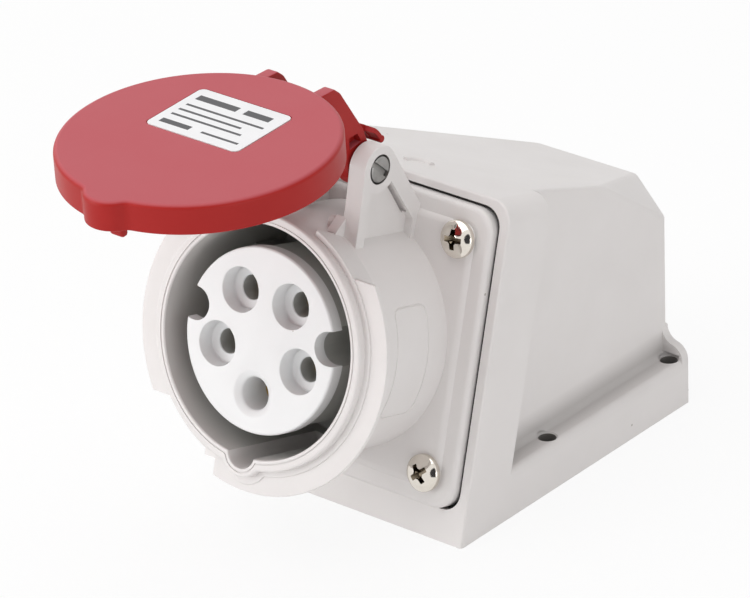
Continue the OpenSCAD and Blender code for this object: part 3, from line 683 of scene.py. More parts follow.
mark_path = [
    SOCKET @ Vector((x, FRAME_TOP + MARK_RISE - MARK_RADIUS, w))
    for x, w in arc(*MARK_CENTRE, MARK_BEND, *MARK_TURNS, 16)
]
gate_mark = rod_along(mark_path, MARK_RADIUS, closed=False)
box_parts = [body_shell, shelf, skirt_end, gate_mark]
box_cuts = [ground, recess, opening, cavity, *screw_bores, cable_entry]
wall_box = carve(slab, box_parts, box_cuts)
dress(wall_box, "wall_box_moulding", box_grey_corner_shade, "housing", ["wall_box"])
# Paints shade on the walls of the wall-screw holes.
shade_inside(wall_box, hole_painted_shade, in_wall_hole)

# The flange gasket: a flat black rubber frame in the recess, with a thin lip that fills the gap round the
# flange. It is squeezed between the wall box and the collar flange by the four flange screws.
GASKET_TOP = -5.5
GASKET_LIP_TOP = -3.45
GASKET_LIP = 0.55
GASKET_GAP = 0.05
GASKET_HALF = RECESS_HALF - GASKET_GAP
GASKET_CORNER = 4.9
GASKET_CUT_TOP = 2.0
SCREW_OFF = 29.3
SCREW_SPOTS = [(side * SCREW_OFF, end * SCREW_OFF) for side in (-1, 1) for end in (-1, 1)]
RUBBER_DUST = (0.022, 0.021, 0.020)


def square_outline(half, radius):
    """Outline of a square with round corners, centred on the socket axis."""
    return rounded_box(-half, -half, half, half, radius)


black_rubber = finish(
    "black_rubber", ((0.010, 0.010, 0.011), RUBBER_DUST), RUBBER_DUST, gloss=(0.56, 0.70),
    scales=(140.0, 3600.0, 420.0), bump=(0.4, 0.00003), Specular_IOR_Level=0.35
)
gasket_edge = rounded_box(-GASKET_HALF, RECESS_SILL + GASKET_GAP, GASKET_HALF, GASKET_HALF, GASKET_CORNER)
gasket_sheet = prism(gasket_edge, RECESS_FLOOR, GASKET_LIP_TOP, SOCKET, top=0.2)
gasket_cuts = [
    prism(square_outline(GASKET_HALF - GASKET_LIP, 4.4), GASKET_TOP, GASKET_CUT_TOP, SOCKET),
    prism(square_outline(OPENING_HALF + 0.1, OPENING_CORNER), RECESS_FLOOR - 2, GASKET_CUT_TOP, SOCKET),
]
flange_gasket = carve(gasket_sheet, [], gasket_cuts)
dress(flange_gasket, "flange_gasket_rubber", black_rubber, "housing", ["flange_gasket"])

# The collar flange: one light grey moulding with a soft-edged square plate, a round collar with lip and band,
# two thin wings, a keyway with its bulge and two ribbed hinge ears. A fine groove outlines a plate on its side.
# It is joined from turned and extruded solids, then bored; four screws hold it to the wall box.
FLANGE_HALF = 37.65
FLANGE_BACK = -5.5
FLANGE_BORDER = -0.8
FLANGE_ROUND = 2.6
BORE = 28.5
COLLAR_OUT = 30.4
COLLAR_TOP = 35.1
LIP_OUT = 31.35
LIP_LOW = 31.6
LIP_EDGE = 0.6
BAND_LOW = 23.7
BAND_OUT = 32.9
BAND_TOP = 33.0
BAND_GAP = (68.5, 111.5)
WING_OUT = 37.6
WING_IN = 29.6
WING_LOW, WING_TOP = 31.3, 32.6
RIGHT_WING = (-104.63, 35.8, -108.72, 48.0)
LEFT_WING = (144.2, 214.3, 132.0, 225.7)
RIM_LINE = 0.85
RIM_LINE_WIDE, RIM_LINE_DEEP = 0.3, 0.28
KEY_AT = 27.6
KEY_RADIUS = 3.9
KEY_RIDGE = 5.2
KEY_CAP = (0, -28.8, 7.0)
KEY_CAP_LOW = 27.0
HINGE = SOCKET.inverted() @ (Vector(frame["joints"][0]["pos_m"]) / MM)
HINGE_U, HINGE_W = HINGE.y, HINGE.z
EAR_IN, EAR_OUT, EAR_WEB = 11.0, 16.0, 13.8
EAR_FRONT = 22.4
EAR_CUT = 20.0
BRACE_SLOT = (10.0, 15.0)
GUSSET = (9.0, 12.0)
NUB = (7.0, 9.0)
BOSS = 5.9
PIN_HOLE = 3.24
PIN_MOUTH = 3.7
PLATE_TURN = 26.5
PLATE_LOW, PLATE_HIGH = 7.4, 19.3
PLATE_CORNER = 2.2
PLATE_LINE = 0.26
PLATE_STEP = 0.8
SCREW_HOLE = 2.45
# The painted shade in the bore is darkest up to BORE_DIM out from the flange face, then grows paler up to the
# mouth.
BORE_DIM = 14
BORE_SHADE_PALE = (0.60, 0.58, 0.565)


def lobed_circle(radius, lobe_at, lobe_radius, blend):
    """Outline of a disc with one round lobe below it, joined to the disc by hollow blends."""
    reach = radius + blend
    turn = math.acos((reach ** 2 + lobe_at ** 2 - (lobe_radius + blend) ** 2) / (2 * reach * lobe_at))
    blend_x, blend_y = reach * math.sin(turn), -reach * math.cos(turn)
    to_disc = math.degrees(math.atan2(-blend_y, blend_x))
    to_lobe = math.degrees(math.atan2(-lobe_at - blend_y, blend_x))
    lean = math.degrees(turn)
    points = arc(0, 0, radius, -90 + lean, 270 - lean, 150)
    points += arc(-blend_x, blend_y, blend, to_disc, to_lobe, 8)[1:]
    points += arc(0, -lobe_at, lobe_radius, 180 + to_lobe, 360 - to_lobe, 24)[1:]
    points += arc(blend_x, blend_y, blend, 180 - to_lobe, 180 - to_disc, 8)[1:-1]
    return points


def disc(x, y, radius, steps=96):
    """Outline of a circle."""
    return arc(x, y, radius, 0, 360, steps)[:-1]


def sideways(outline, low, high, place, edge=0.3):
    """A solid drawn on the socket's side plane and given its width across the socket."""
    return prism(outline, low, high, place @ SIDEWAYS, top=edge, foot=edge, steps=2)


def both_sides(outline, low, high, place, edge):
    """The same sideways solid on the right and on the left."""
    return [sideways(outline, start, end, place, edge) for start, end in ((low, high), (-high, -low))]


def ear_outline():
    """Side view of an ear: straight front strip, round boss and a brace sloping back to the flange."""
    foot = Vector((35.4, 0.0))
    reach = Vector((HINGE_U, HINGE_W)) - foot
    lean = math.asin(BOSS / reach.length)
    tangent = math.degrees(math.atan2(reach.y, reach.x) - lean) - 90
    outline = [(22.0, -1.0), (34.5, -1.0), (foot.x, foot.y)]
    outline += arc(HINGE_U, HINGE_W, BOSS, tangent, 88, 18)
    return outline + [(38.0, EAR_FRONT), (22.0, EAR_FRONT)]


def ear_pocket():
    """The hollow in an ear's outer side, between its front strip, boss and brace."""
    strip = EAR_FRONT - 3.0
    start = math.degrees(math.atan2(strip - HINGE_W, -math.sqrt(BOSS ** 2 - (strip - HINGE_W) ** 2)))
    return [(22.0, strip)] + arc(HINGE_U, HINGE_W, BOSS, start, 236, 10) + [(30.9, 1.5), (22.0, 1.5)]


def rim_outline(grow):
    """Outline of the bore with its keyway, made wider all round."""
    return lobed_circle(BORE + grow, KEY_AT, KEY_RADIUS + grow, 0.5)


def fade_along():
    """Shared effect: mask that grows as a place or a normal runs on along an axis."""
    inputs = {"Place": "Vector", "Axis": "Vector", "Start": "Float", "End": "Float"}
    group, entry, leave = new_tree("fade_along", "ShaderNodeTree", inputs, {"Mask": "Float"})
    along = add_node(group, "ShaderNodeVectorMath")
    along.operation = "DOT_PRODUCT"
    grow = add_node(group, "ShaderNodeMapRange", To_Min=0.0, To_Max=1.0)
    wire(
        group,
        (entry, "Place", along, 0),
        (entry, "Axis", along, 1),
        (along, "Value", grow, "Value"),
        (entry, "Start", grow, "From Min"),
        (entry, "End", grow, "From Max"),
        (grow, "Result", leave, "Mask"),
    )
    return group


def tint_along(material, source, axis, start, end, colour):
    """Fades a finish into another colour where the piece's place or normal runs on along an axis; it grades the
    painted shade in the bore and paints the sheen on the lid's top.
    """
    tree = material.node_tree
    place = add_node(tree, "ShaderNodeTexCoord")
    fade = add_node(tree, "ShaderNodeGroup")
    fade.node_tree = FADE_ALONG
    for name, value in (("Axis", axis), ("Start", start), ("End", end)):
        fade.inputs[name].default_value = value
    wire(tree, (place, source, fade, "Place"))
    cover(material, fade.outputs["Mask"], colour)


def in_bore(spot):
    """Whether a point lies on the wall of the bore, below the mouth and clear of the keyway, where shade is
    painted.
    """
    return spot.z < COLLAR_TOP - 0.4 and spot.xy.length < BORE + 0.05


def in_pin_mouth(spot):
    """Whether a point lies in the gap round the hinge pin, in the mouth of either ear, where shade is painted."""
    off = math.hypot(spot.y - HINGE_U, spot.z - HINGE_W)
    return EAR_WEB < abs(spot.x) < EAR_OUT and off < PIN_MOUTH + 0.05


def wing(start, end, inner_start, inner_end):
    """A thin wing of the collar's mouth between two angles, seen from the front."""
    outline = arc(0, 0, WING_OUT, start, end, 40) + arc(0, 0, WING_IN, inner_end, inner_start, 40)
    return prism(outline, WING_LOW, WING_TOP, SOCKET, top=0.3, foot=0.3, steps=2)


def plate_path():
    """The plate's outline laid on the collar's right side, in steps short enough to follow its curve."""
    half = math.radians(PLATE_TURN) * COLLAR_OUT
    corners = [Vector(spot) for spot in rounded_box(-half, PLATE_LOW, half, PLATE_HIGH, PLATE_CORNER)]
    path = []
    for start, end in zip(corners, corners[1:] + corners[:1]):
        count = math.ceil((end - start).length / PLATE_STEP)
        for step in range(count):
            along, up = start.lerp(end, step / count)
            turn = along / COLLAR_OUT
            path.append(SOCKET @ Vector((COLLAR_OUT * math.cos(turn), COLLAR_OUT * math.sin(turn), up)))
    return path


gap = [(0, 0)] + arc(0, 0, 60, *BAND_GAP, 6)
band_profile = [
    (29.0, 23.2), (30.45, BAND_LOW), (BAND_OUT, 32.7), (32.8, 32.93), (32.6, BAND_TOP), (29.0, BAND_TOP)
]
band = carve(turned(band_profile, SOCKET), [], [prism(gap, 20, 34, SOCKET)])
nub = rounded([(26.0, 19.6, 0), (32.0, 19.6, 1.5), (32.0, 23.0, 1.5), (26.0, 23.0, 0)])
gusset = [(20.0, 20.0), (32.5, 22.3), (29.0, 25.5), (20.0, 25.5)]
ears = both_sides(ear_outline(), EAR_IN, EAR_OUT, SOCKET, 0.35)
pocket_cuts = both_sides(ear_pocket(), EAR_WEB, EAR_CUT, SOCKET, 0)
brace_slot = [(40.0, 11.2), (32.0, 3.4), (32.7, 2.7), (40.7, 10.5)]
slot_cuts = both_sides(brace_slot, *BRACE_SLOT, SOCKET, 0)
lip_outline = lobed_circle(LIP_OUT, KEY_AT, KEY_RIDGE + LIP_OUT - COLLAR_OUT, 1.4)
plate_outline = square_outline(FLANGE_HALF, 6.0)
face_outline = square_outline(FLANGE_HALF - 3.6, 4.0)
flange_plate = prism(plate_outline, FLANGE_BACK, FLANGE_BORDER, SOCKET, top=1.3, foot=0.4, steps=5)
collar_parts = [
    prism(face_outline, FLANGE_BACK + 1, 0, SOCKET, top=FLANGE_ROUND, steps=8),
    prism(lobed_circle(COLLAR_OUT, KEY_AT, KEY_RIDGE, 1.2), -1.0, 33.2, SOCKET),
    prism(lip_outline, LIP_LOW, COLLAR_TOP, SOCKET, top=LIP_EDGE, steps=4),
    band,
    prism(disc(*KEY_CAP), KEY_CAP_LOW, BAND_TOP, SOCKET, top=0.3, foot=0.5),
    wing(*RIGHT_WING),
    wing(*LEFT_WING),
    *ears,
    *both_sides(gusset, *GUSSET, SOCKET, 0.25),
    *both_sides(nub, *NUB, SOCKET, 0.5),
]
bore_profile = [
    (0, -7), (31.3, -7), (31.3, -3), (BORE, -3), (BORE, 34.6), (28.58, 34.85), (28.75, 35.03),
    (29.0, COLLAR_TOP), (29.3, 36.5), (0, 36.5),
]
key_profile = [
    (0, 1.5), (KEY_RADIUS, 1.5), (KEY_RADIUS, 34.6), (4.1, 35.0), (4.35, COLLAR_TOP), (4.6, 36.5), (0, 36.5)
]
rim_line = carve(
    prism(rim_outline(RIM_LINE + RIM_LINE_WIDE), COLLAR_TOP - RIM_LINE_DEEP, COLLAR_TOP + 1, SOCKET),
    [], [prism(rim_outline(RIM_LINE), COLLAR_TOP - 2, COLLAR_TOP + 2, SOCKET)]
)
pin_mouth = [
    (0, 0), (PIN_HOLE, 0), (PIN_HOLE, 14.4), (PIN_MOUTH, 14.4), (PIN_MOUTH, 15.9),
    (3.85, 16.1), (3.85, 18), (0, 18),
]
screw_hole = [(0, -8), (SCREW_HOLE, -8), (SCREW_HOLE, 4), (0, 4)]
pin_place = SOCKET @ Matrix.Translation((0, HINGE_U, HINGE_W))
collar_cuts = [
    turned(bore_profile, SOCKET),
    rod_along(plate_path(), PLATE_LINE),
    rim_line,
    turned(key_profile, SOCKET @ Matrix.Translation((0, -KEY_AT, 0)), 64),
    turned(pin_mouth, pin_place @ Matrix.Rotation(math.pi / 2, 4, "Y"), 64),
    turned(pin_mouth, pin_place @ Matrix.Rotation(-math.pi / 2, 4, "Y"), 64),
    *(turned(screw_hole, SOCKET @ Matrix.Translation((x, y, 0)), 48) for x, y in SCREW_SPOTS),
]
for ear, pocket, slot in zip(ears, pocket_cuts, slot_cuts):
    carve(ear, [], [pocket, slot])
collar_flange = carve(flange_plate, collar_parts, collar_cuts)
dress(collar_flange, "collar_flange_moulding", warm_grey, "housing", ["collar_flange"])
FADE_ALONG = fade_along()
# Painted shade: the bore wall is painted dark deep down and paler towards the mouth, for the shade in the deep gap
# round the insert.
bore_shade_paint = plastic(
    "bore_painted_shade", (0.50, 0.495, 0.47), (0.47, 0.465, 0.44), (0.32, 0.31, 0.30), 0.5, GREY_GRAIN
)
socket_axis = SOCKET.to_3x3() @ Vector((0, 0, 1))
bore_foot = SOCKET.translation.dot(socket_axis)
bore_span = ((bore_foot + BORE_DIM) * MM, (bore_foot + COLLAR_TOP) * MM)
tint_along(bore_shade_paint, "Object", socket_axis, *bore_span, BORE_SHADE_PALE)
shade_inside(collar_flange, bore_shade_paint, in_bore)
# Paints shade in the gap round the hinge pin's ends.
shade_inside(collar_flange, hole_painted_shade, in_pin_mouth)

# The flange screws: four bright nickel-plated pan heads with a cross recess, at the corners of the flange.
# One screw is turned and recessed, then set at the four corners by geometry nodes, each turned its own way.
HEAD_RADIUS = 4.65
HEAD_HEIGHT = 3.1
HEAD_DOME = 7.2
HEAD_EDGE = 0.15
DOME_RIM = 4.45
SHANK_RADIUS = 2.0
SHANK_END = -12.0
RECESS_DEPTH = 2.2
RECESS_REACH = 3.4
RECESS_CLEAR = 0.2
TURN_FIRST = math.radians(28)
TURN_STEP = math.radians(52)


def wedge_arm(turn):
    """One arm of the cross recess: a slot that narrows to its floor."""
    shape = bmesh.new()
    rings = []
    for height, length, width in ((HEAD_HEIGHT - RECESS_DEPTH, 1.3, 0.45), (HEAD_HEIGHT + 0.5, 3.15, 0.78)):
        spots = [(-length, -width), (length, -width), (length, width), (-length, width)]
        rings.append([shape.verts.new((x, y, height)) for x, y in spots])
    shape.faces.new(rings[0])
    shape.faces.new(rings[1])
    for index in range(4):
        after = (index + 1) % 4
        shape.faces.new([rings[0][index], rings[0][after], rings[1][after], rings[1][index]])
    return solid(shape, "wedge", Matrix.Rotation(turn, 4, "Z"))


def one_screw():
    """A pan-head screw standing on its own axis, in millimetres."""
    rim = math.degrees(math.acos(DOME_RIM / HEAD_DOME))
    profile = [
        (0, SHANK_END), (SHANK_RADIUS, SHANK_END), (SHANK_RADIUS, 0),
        (HEAD_RADIUS - HEAD_EDGE, 0), (HEAD_RADIUS, HEAD_EDGE), (HEAD_RADIUS, 1.15), (4.6, 1.38),
    ]
    profile += arc(0, HEAD_HEIGHT - HEAD_DOME, HEAD_DOME, rim, 90, 14)[:-1] + [(0, HEAD_HEIGHT)]
    cone = [(0, HEAD_HEIGHT - 2.3), (1.25, HEAD_HEIGHT - 0.7), (1.45, HEAD_HEIGHT + 1), (0, HEAD_HEIGHT + 1)]
    cuts = [wedge_arm(0), wedge_arm(math.pi / 2), turned(cone, Matrix(), 32)]
    return carve(turned(profile, Matrix(), 96), [], cuts)


def plated_metal(name, colour, worn, roughness):
    """A metal finish with faint cloudy plating and fine rubbed marks in its gloss."""
    gloss = (roughness * 0.8, roughness * 1.3)
    return finish(name, (colour, worn), worn, gloss, (260.0, 5200.0, 700.0), (0.15, 0.00001), Metallic=1.0)


def in_recess(spot):
    """Whether a point lies at the bottom of the cross recess in one of the screw heads, where shade is painted."""
    off = min(math.hypot(spot.x - x, spot.y - y) for x, y in SCREW_SPOTS)
    dome = HEAD_HEIGHT - HEAD_DOME + math.sqrt(max(HEAD_DOME ** 2 - off ** 2, 0.0))
    return off < RECESS_REACH and RECESS_CLEAR < spot.z < dome - RECESS_CLEAR


def set_at_corners(template, material):
    """The four screws as one mesh: the template instanced on the corner points and turned."""
    inputs = {
        "Corners": "Geometry", "Screw": "Object", "Lean": "Float", "First Turn": "Float", "Turn Step": "Float",
        "Plating": "Material",
    }
    tree, entry, leave = new_tree("screw_corners", "GeometryNodeTree", inputs, {"Screws": "Geometry"})
    shown = add_node(tree, "GeometryNodeObjectInfo")
    points = add_node(tree, "GeometryNodeMeshToPoints")
    placed = add_node(tree, "GeometryNodeInstanceOnPoints")
    lean = add_node(tree, "FunctionNodeAxisAngleToRotation", Axis=(1, 0, 0))
    index = add_node(tree, "GeometryNodeInputIndex")
    spin = add_node(tree, "FunctionNodeAxisAngleToRotation", Axis=(0, 0, 1))
    turned_in = add_node(tree, "GeometryNodeRotateInstances", Local_Space=True)
    whole = add_node(tree, "GeometryNodeRealizeInstances")
    coated = add_node(tree, "GeometryNodeSetMaterial")
    turn = add_math(tree, "MULTIPLY", index.outputs[0], entry.outputs["Turn Step"])
    tree.links.new(add_math(tree, "ADD", turn, entry.outputs["First Turn"]), spin.inputs["Angle"])
    wire(
        tree,
        (entry, "Corners", points, "Mesh"),
        (entry, "Screw", shown, "Object"),
        (points, "Points", placed, "Points"),
        (shown, "Geometry", placed, "Instance"),
        (entry, "Lean", lean, "Angle"),
        (lean, "Rotation", placed, "Rotation"),
        (placed, "Instances", turned_in, "Instances"),
        (spin, "Rotation", turned_in, "Rotation"),
        (turned_in, "Instances", whole, "Geometry"),
        (whole, "Geometry", coated, "Geometry"),
        (entry, "Plating", coated, "Material"),
        (coated, "Geometry", leave, "Screws"),
    )
    spots = [SOCKET @ Vector((x, y, 0)) for x, y in SCREW_SPOTS]
    values = {
        "Screw": template, "Lean": math.pi / 2 - TILT, "First Turn": TURN_FIRST, "Turn Step": TURN_STEP,
        "Plating": material,
    }
    screws = grown("flange_screws", spots, [], tree, values)
    bpy.data.objects.remove(template)
    return screws


nickel = plated_metal("bright_nickel", (0.80, 0.755, 0.69), (0.70, 0.65, 0.58), 0.09)
# Painted shade: a dark brown metal that stands for the shade at the bottom of the cross recesses.
recess_painted_shade = plated_metal("recess_painted_shade", (0.23, 0.19, 0.14), (0.17, 0.14, 0.10), 0.25)
flange_screws = set_at_corners(one_screw(), nickel)
dress(
    flange_screws, "flange_screw_set", nickel, "housing",
    ["flange_screw_tl", "flange_screw_tr", "flange_screw_bl", "flange_screw_br"]
)
shade_inside(flange_screws, recess_painted_shade, in_recess, any)

# The contact insert: a white round block that stands in the collar on a thin base disc with four webs.
# Four stepped holes and one wider earth hole lead to the contacts; two side notches take the plug's ribs.
INSERT_RADIUS = 22.7
INSERT_WAIST = 21.8
INSERT_EDGE = 0.6
INSERT_FACE = 33.7
INSERT_BACK = -5.5
INSERT_BASE, INSERT_BASE_TOP = 31.0, -2.6
HEAD_FOOT = INSERT_FACE - 3.6
CUT_TOP, CUT_FOOT = 35, -9
PITCH_RADIUS = 13.2
PHASE_TURNS = (198, 126, 54, -18)
EARTH_TURN = -90
MOUTH_RADIUS = 5.5
MOUTH_FLOOR = INSERT_FACE - 4.5
PHASE_HOLE = 3.0
EARTH_HOLE = 4.0
NOTCH_TURNS = (10.5, 169.5)
NOTCH_AT = 20.95
NOTCH_RADIUS = 4.2
NOTCH_REACH = 6.0
NOTCH_STEP = 0.6
WEB_TURNS = (70, 150, 232, 308)
WHITE_GRAIN = (3000.0, 0.000012)
HOLE_SPOTS = [
    Vector((PITCH_RADIUS * math.cos(math.radians(turn)), PITCH_RADIUS * math.sin(math.radians(turn))))
    for turn in (*PHASE_TURNS, EARTH_TURN)
]


def on_circle(turn, radius):
    """A place on a circle about the socket axis, in the socket's own frame."""
    return SOCKET @ Matrix.Rotation(math.radians(turn), 4, "Z") @ Matrix.Translation((radius, 0, 0))


def notch_outline(grow):
    """Outline of a notch that opens outwards, made wider all round."""
    half = NOTCH_RADIUS + grow
    bend = half - 0.01
    return rounded([(-half, -half, bend), (NOTCH_REACH, -half, 0), (NOTCH_REACH, half, 0), (-half, half, bend)])


def below_head(spot):
    """Whether a point lies on the insert's waist, webs or base, or deep in a contact hole, where shade is painted.
    """
    off = min((spot.xy - hole).length for hole in HOLE_SPOTS)
    in_hole = off < EARTH_HOLE + 0.1 and spot.z < MOUTH_FLOOR - 0.3
    on_waist = spot.xy.length > INSERT_WAIST - 6.0 and off > MOUTH_RADIUS + 0.6
    return in_hole or on_waist and spot.z < HEAD_FOOT + 0.05


pure_white = plastic(
    "white_moulding", (0.81, 0.814, 0.817), (0.79, 0.793, 0.796), (0.60, 0.58, 0.55), 0.36, WHITE_GRAIN
)
# Painted shade: a dark grey-white that stands for the shade on the insert's sides and webs and deep in its holes.
insert_shade_paint = plastic(
    "insert_painted_shade", (0.44, 0.442, 0.424), (0.42, 0.422, 0.404), (0.3, 0.29, 0.28), 0.5, WHITE_GRAIN
)
block_profile = [
    (0, INSERT_BACK), (INSERT_BASE, INSERT_BACK), (INSERT_BASE, INSERT_BASE_TOP),
    (INSERT_WAIST, INSERT_BASE_TOP), (INSERT_WAIST, HEAD_FOOT), (INSERT_RADIUS, HEAD_FOOT),
    *arc(INSERT_RADIUS - INSERT_EDGE, INSERT_FACE - INSERT_EDGE, INSERT_EDGE, 0, 90, 5), (0, INSERT_FACE),
]
phase_profile = [
    (0, CUT_FOOT), (PHASE_HOLE, CUT_FOOT), (PHASE_HOLE, MOUTH_FLOOR - 0.4),
    (PHASE_HOLE + 0.12, MOUTH_FLOOR - 0.12), (PHASE_HOLE + 0.4, MOUTH_FLOOR), (4.5, MOUTH_FLOOR + 0.1),
    (4.9, MOUTH_FLOOR + 0.3), (5.05, MOUTH_FLOOR + 0.55), (5.2, MOUTH_FLOOR + 0.35),
    (MOUTH_RADIUS - 0.1, MOUTH_FLOOR + 0.75), (MOUTH_RADIUS, INSERT_FACE - 0.35),
    (MOUTH_RADIUS + 0.1, INSERT_FACE - 0.1), (MOUTH_RADIUS + 0.35, INSERT_FACE), (MOUTH_RADIUS + 0.5, CUT_TOP),
    (0, CUT_TOP),
]
earth_profile = [
    (0, CUT_FOOT), (EARTH_HOLE, CUT_FOOT), (EARTH_HOLE, 32.2), (4.15, 32.55), (4.5, 32.85), (5.5, 33.5),
    (6.0, INSERT_FACE), (6.2, CUT_TOP), (0, CUT_TOP),
]
web_outline = [(20, -0.8), (30.2, -0.8), (30.2, 0.8), (20, 0.8)]
webs = [prism(web_outline, -3, 9, on_circle(turn, 0), top=0.2) for turn in WEB_TURNS]
insert_cuts = [turned(phase_profile, on_circle(turn, PITCH_RADIUS), 80) for turn in PHASE_TURNS]
insert_cuts += [turned(earth_profile, on_circle(EARTH_TURN, PITCH_RADIUS), 80)]
for notch_turn in NOTCH_TURNS:
    notch_place = on_circle(notch_turn, NOTCH_AT)
    insert_cuts += [prism(notch_outline(0), HEAD_FOOT - 0.5, CUT_TOP, notch_place)]
    insert_cuts += [prism(notch_outline(NOTCH_STEP), 4, HEAD_FOOT, notch_place)]
contact_insert = carve(turned(block_profile, SOCKET), webs, insert_cuts)
dress(contact_insert, "contact_insert_moulding", pure_white, "housing", ["contact_insert"])
shade_inside(contact_insert, insert_shade_paint, below_head)

# The contacts and what holds them: five brass sleeves with steel spring rings and terminal screws, on a white
# carrier fixed by two screws, all behind the insert, with the lid spring and the grommet of the cable entry.
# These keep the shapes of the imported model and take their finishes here.
brass = plated_metal("contact_brass", (0.72, 0.50, 0.20), (0.55, 0.36, 0.13), 0.26)
zinc_steel = plated_metal("zinc_steel", (0.50, 0.49, 0.475), (0.38, 0.37, 0.355), 0.34)
INNER_FINISH = {
    "contact_brass": brass, "steel": zinc_steel, "nickel_screw": nickel, "white_plastic": pure_white,
    "black_rubber": black_rubber, "grey_plastic": warm_grey,
}
for subpart in frame["record"]["subparts"]:
    if subpart["material_slot"] in INNER_FINISH:
        node = frame["nodes"][subpart["node"]]
        node.data.materials.clear()
        node.data.materials.append(INNER_FINISH[subpart["material_slot"]])

# The hinge pin: a dull zinc-plated steel rod through both ears and the lid's arms.
# Its ends are chamfered and slotted, and stand level with the ears in slightly wider mouths.
PIN_RADIUS = 3.2
PIN_HALF = 16.15
PIN_EDGE = 0.25
PIN_SLOT_TURN = math.radians(61.8)
PIN_SLOT_WIDE, PIN_SLOT_DEEP = 1.5, 1.0
PIN_SLOT_REACH = 6

dull_zinc = plated_metal("dull_zinc", (0.40, 0.395, 0.385), (0.29, 0.285, 0.275), 0.42)
pin_profile = [
    (0, -PIN_HALF), (PIN_RADIUS - PIN_EDGE, -PIN_HALF), (PIN_RADIUS, -PIN_HALF + PIN_EDGE),
    (PIN_RADIUS, PIN_HALF - PIN_EDGE), (PIN_RADIUS - PIN_EDGE, PIN_HALF), (0, PIN_HALF),
]
pin_along = pin_place @ Matrix.Rotation(math.pi / 2, 4, "Y")
slot_outline = rounded_box(-PIN_SLOT_WIDE / 2, -PIN_SLOT_REACH, PIN_SLOT_WIDE / 2, PIN_SLOT_REACH, 0.1)
slot_place = pin_along @ Matrix.Rotation(PIN_SLOT_TURN, 4, "Z")
pin_slots = [
    prism(slot_outline, PIN_HALF - PIN_SLOT_DEEP, PIN_HALF + 2, slot_place),
    prism(slot_outline, -PIN_HALF - 2, -PIN_HALF + PIN_SLOT_DEEP, slot_place),
]
hinge_pin = carve(turned(pin_profile, pin_along, 72), [], pin_slots)
dress(hinge_pin, "hinge_pin_rod", dull_zinc, "housing", ["hinge_pin"])

# The lid: a red moulded cap with a round finger lug and a small tongue, two arms with hinge bosses and a
# rolled hood between them. It is drawn shut over the collar, then turned open about the hinge pin.
OPEN_TURN = math.radians(frame["joints"][0]["range_deg"][0])
LID = (
    SOCKET @ Matrix.Translation((0, HINGE_U, HINGE_W)) @ Matrix.Rotation(OPEN_TURN, 4, "X")
    @ Matrix.Translation((0, -HINGE_U, -HINGE_W))
)
LID_RADIUS = 33.7
LID_FOOT = 33.35
LID_TOP = 40.8
LID_EDGE = 1.25
LID_CEILING = 38.9
LID_HOLLOW = 32.0
KEY_ROOM_TOP = 36.0
LUG_AT = 29.4
LUG_RADIUS = 7.4
LUG_BLEND = 3.2
LABEL_WIDE, LABEL_TALL, LABEL_ROUND = 27.9, 20.6, 1.6
LABEL_X, LABEL_U = -1.55, 9.1
LABEL_SINK = 0.25
LABEL_GAP = 0.28
ARM_IN, ARM_OUT = 7.0, 10.3
ARM_BOSS = 5.3
ARM_HOLLOW = 2.0
ARM_CUT = 14
TONGUE_LOW, TONGUE_TOP, TONGUE_ROUND = 28.5, 39.5, 0.9
HOOD_HALF = 7.4
HOOD_LIP = 10.4
HOOD_END = 22
HOOD_OUT, HOOD_IN = 9.0, 7.5
BEAD_AT, BEAD_RADIUS = 8.4, 0.95
HOLLOW_FOOT = 25
RED_GRAIN = (3400.0, 0.00003)
# Painted sheen: the lid's upward-facing surfaces are painted paler and pinker, for the reflection of the overhead
# light.
TOP_PAINTED_SHEEN = (0.475, 0.095, 0.112)
TOP_SPAN = (0.55, 0.97)


def label_outline(grow):
    """Outline of the label's place on the lid, made wider all round by a gap."""
    wide, tall = LABEL_WIDE / 2 + grow, LABEL_TALL / 2 + grow
    return rounded_box(LABEL_X - wide, LABEL_U - tall, LABEL_X + wide, LABEL_U + tall, LABEL_ROUND + grow)


def arm_outline():
    """Side view of an arm, from the lid's rim down to the pin."""
    return rounded([
        (31.3, 33.55, 0), (31.3, 40.3, 0.6), (36.9, 40.0, 1.2), (38.9, 38.2, 2.4), (46.0, 26.0, 4.0),
        (49.2, 17.0, 2.0), (44.7, 13.0, 2.0), (39.6, 17.0, 1.5), (39.5, 26.5, 2.5), (34.5, 33.55, 1.0),
    ])


def hood_outline():
    """Side view of the hood: a thin plate from the lid's rim that rolls round the hinge."""
    outer = [(32.5, 37.8), (35.1, 37.6)] + arc(HINGE_U, HINGE_W, HOOD_OUT, 86, HOOD_END, 14)
    inner = arc(HINGE_U, HINGE_W, HOOD_IN, HOOD_END, 96, 14) + [(34.7, 35.7), (32.5, 35.9)]
    return outer + inner


lid_red = plastic(
    "red_moulding", (0.375, 0.018, 0.016), (0.35, 0.016, 0.014), (0.50, 0.14, 0.13), 0.40, RED_GRAIN,
    Specular_IOR_Level=0.17
)
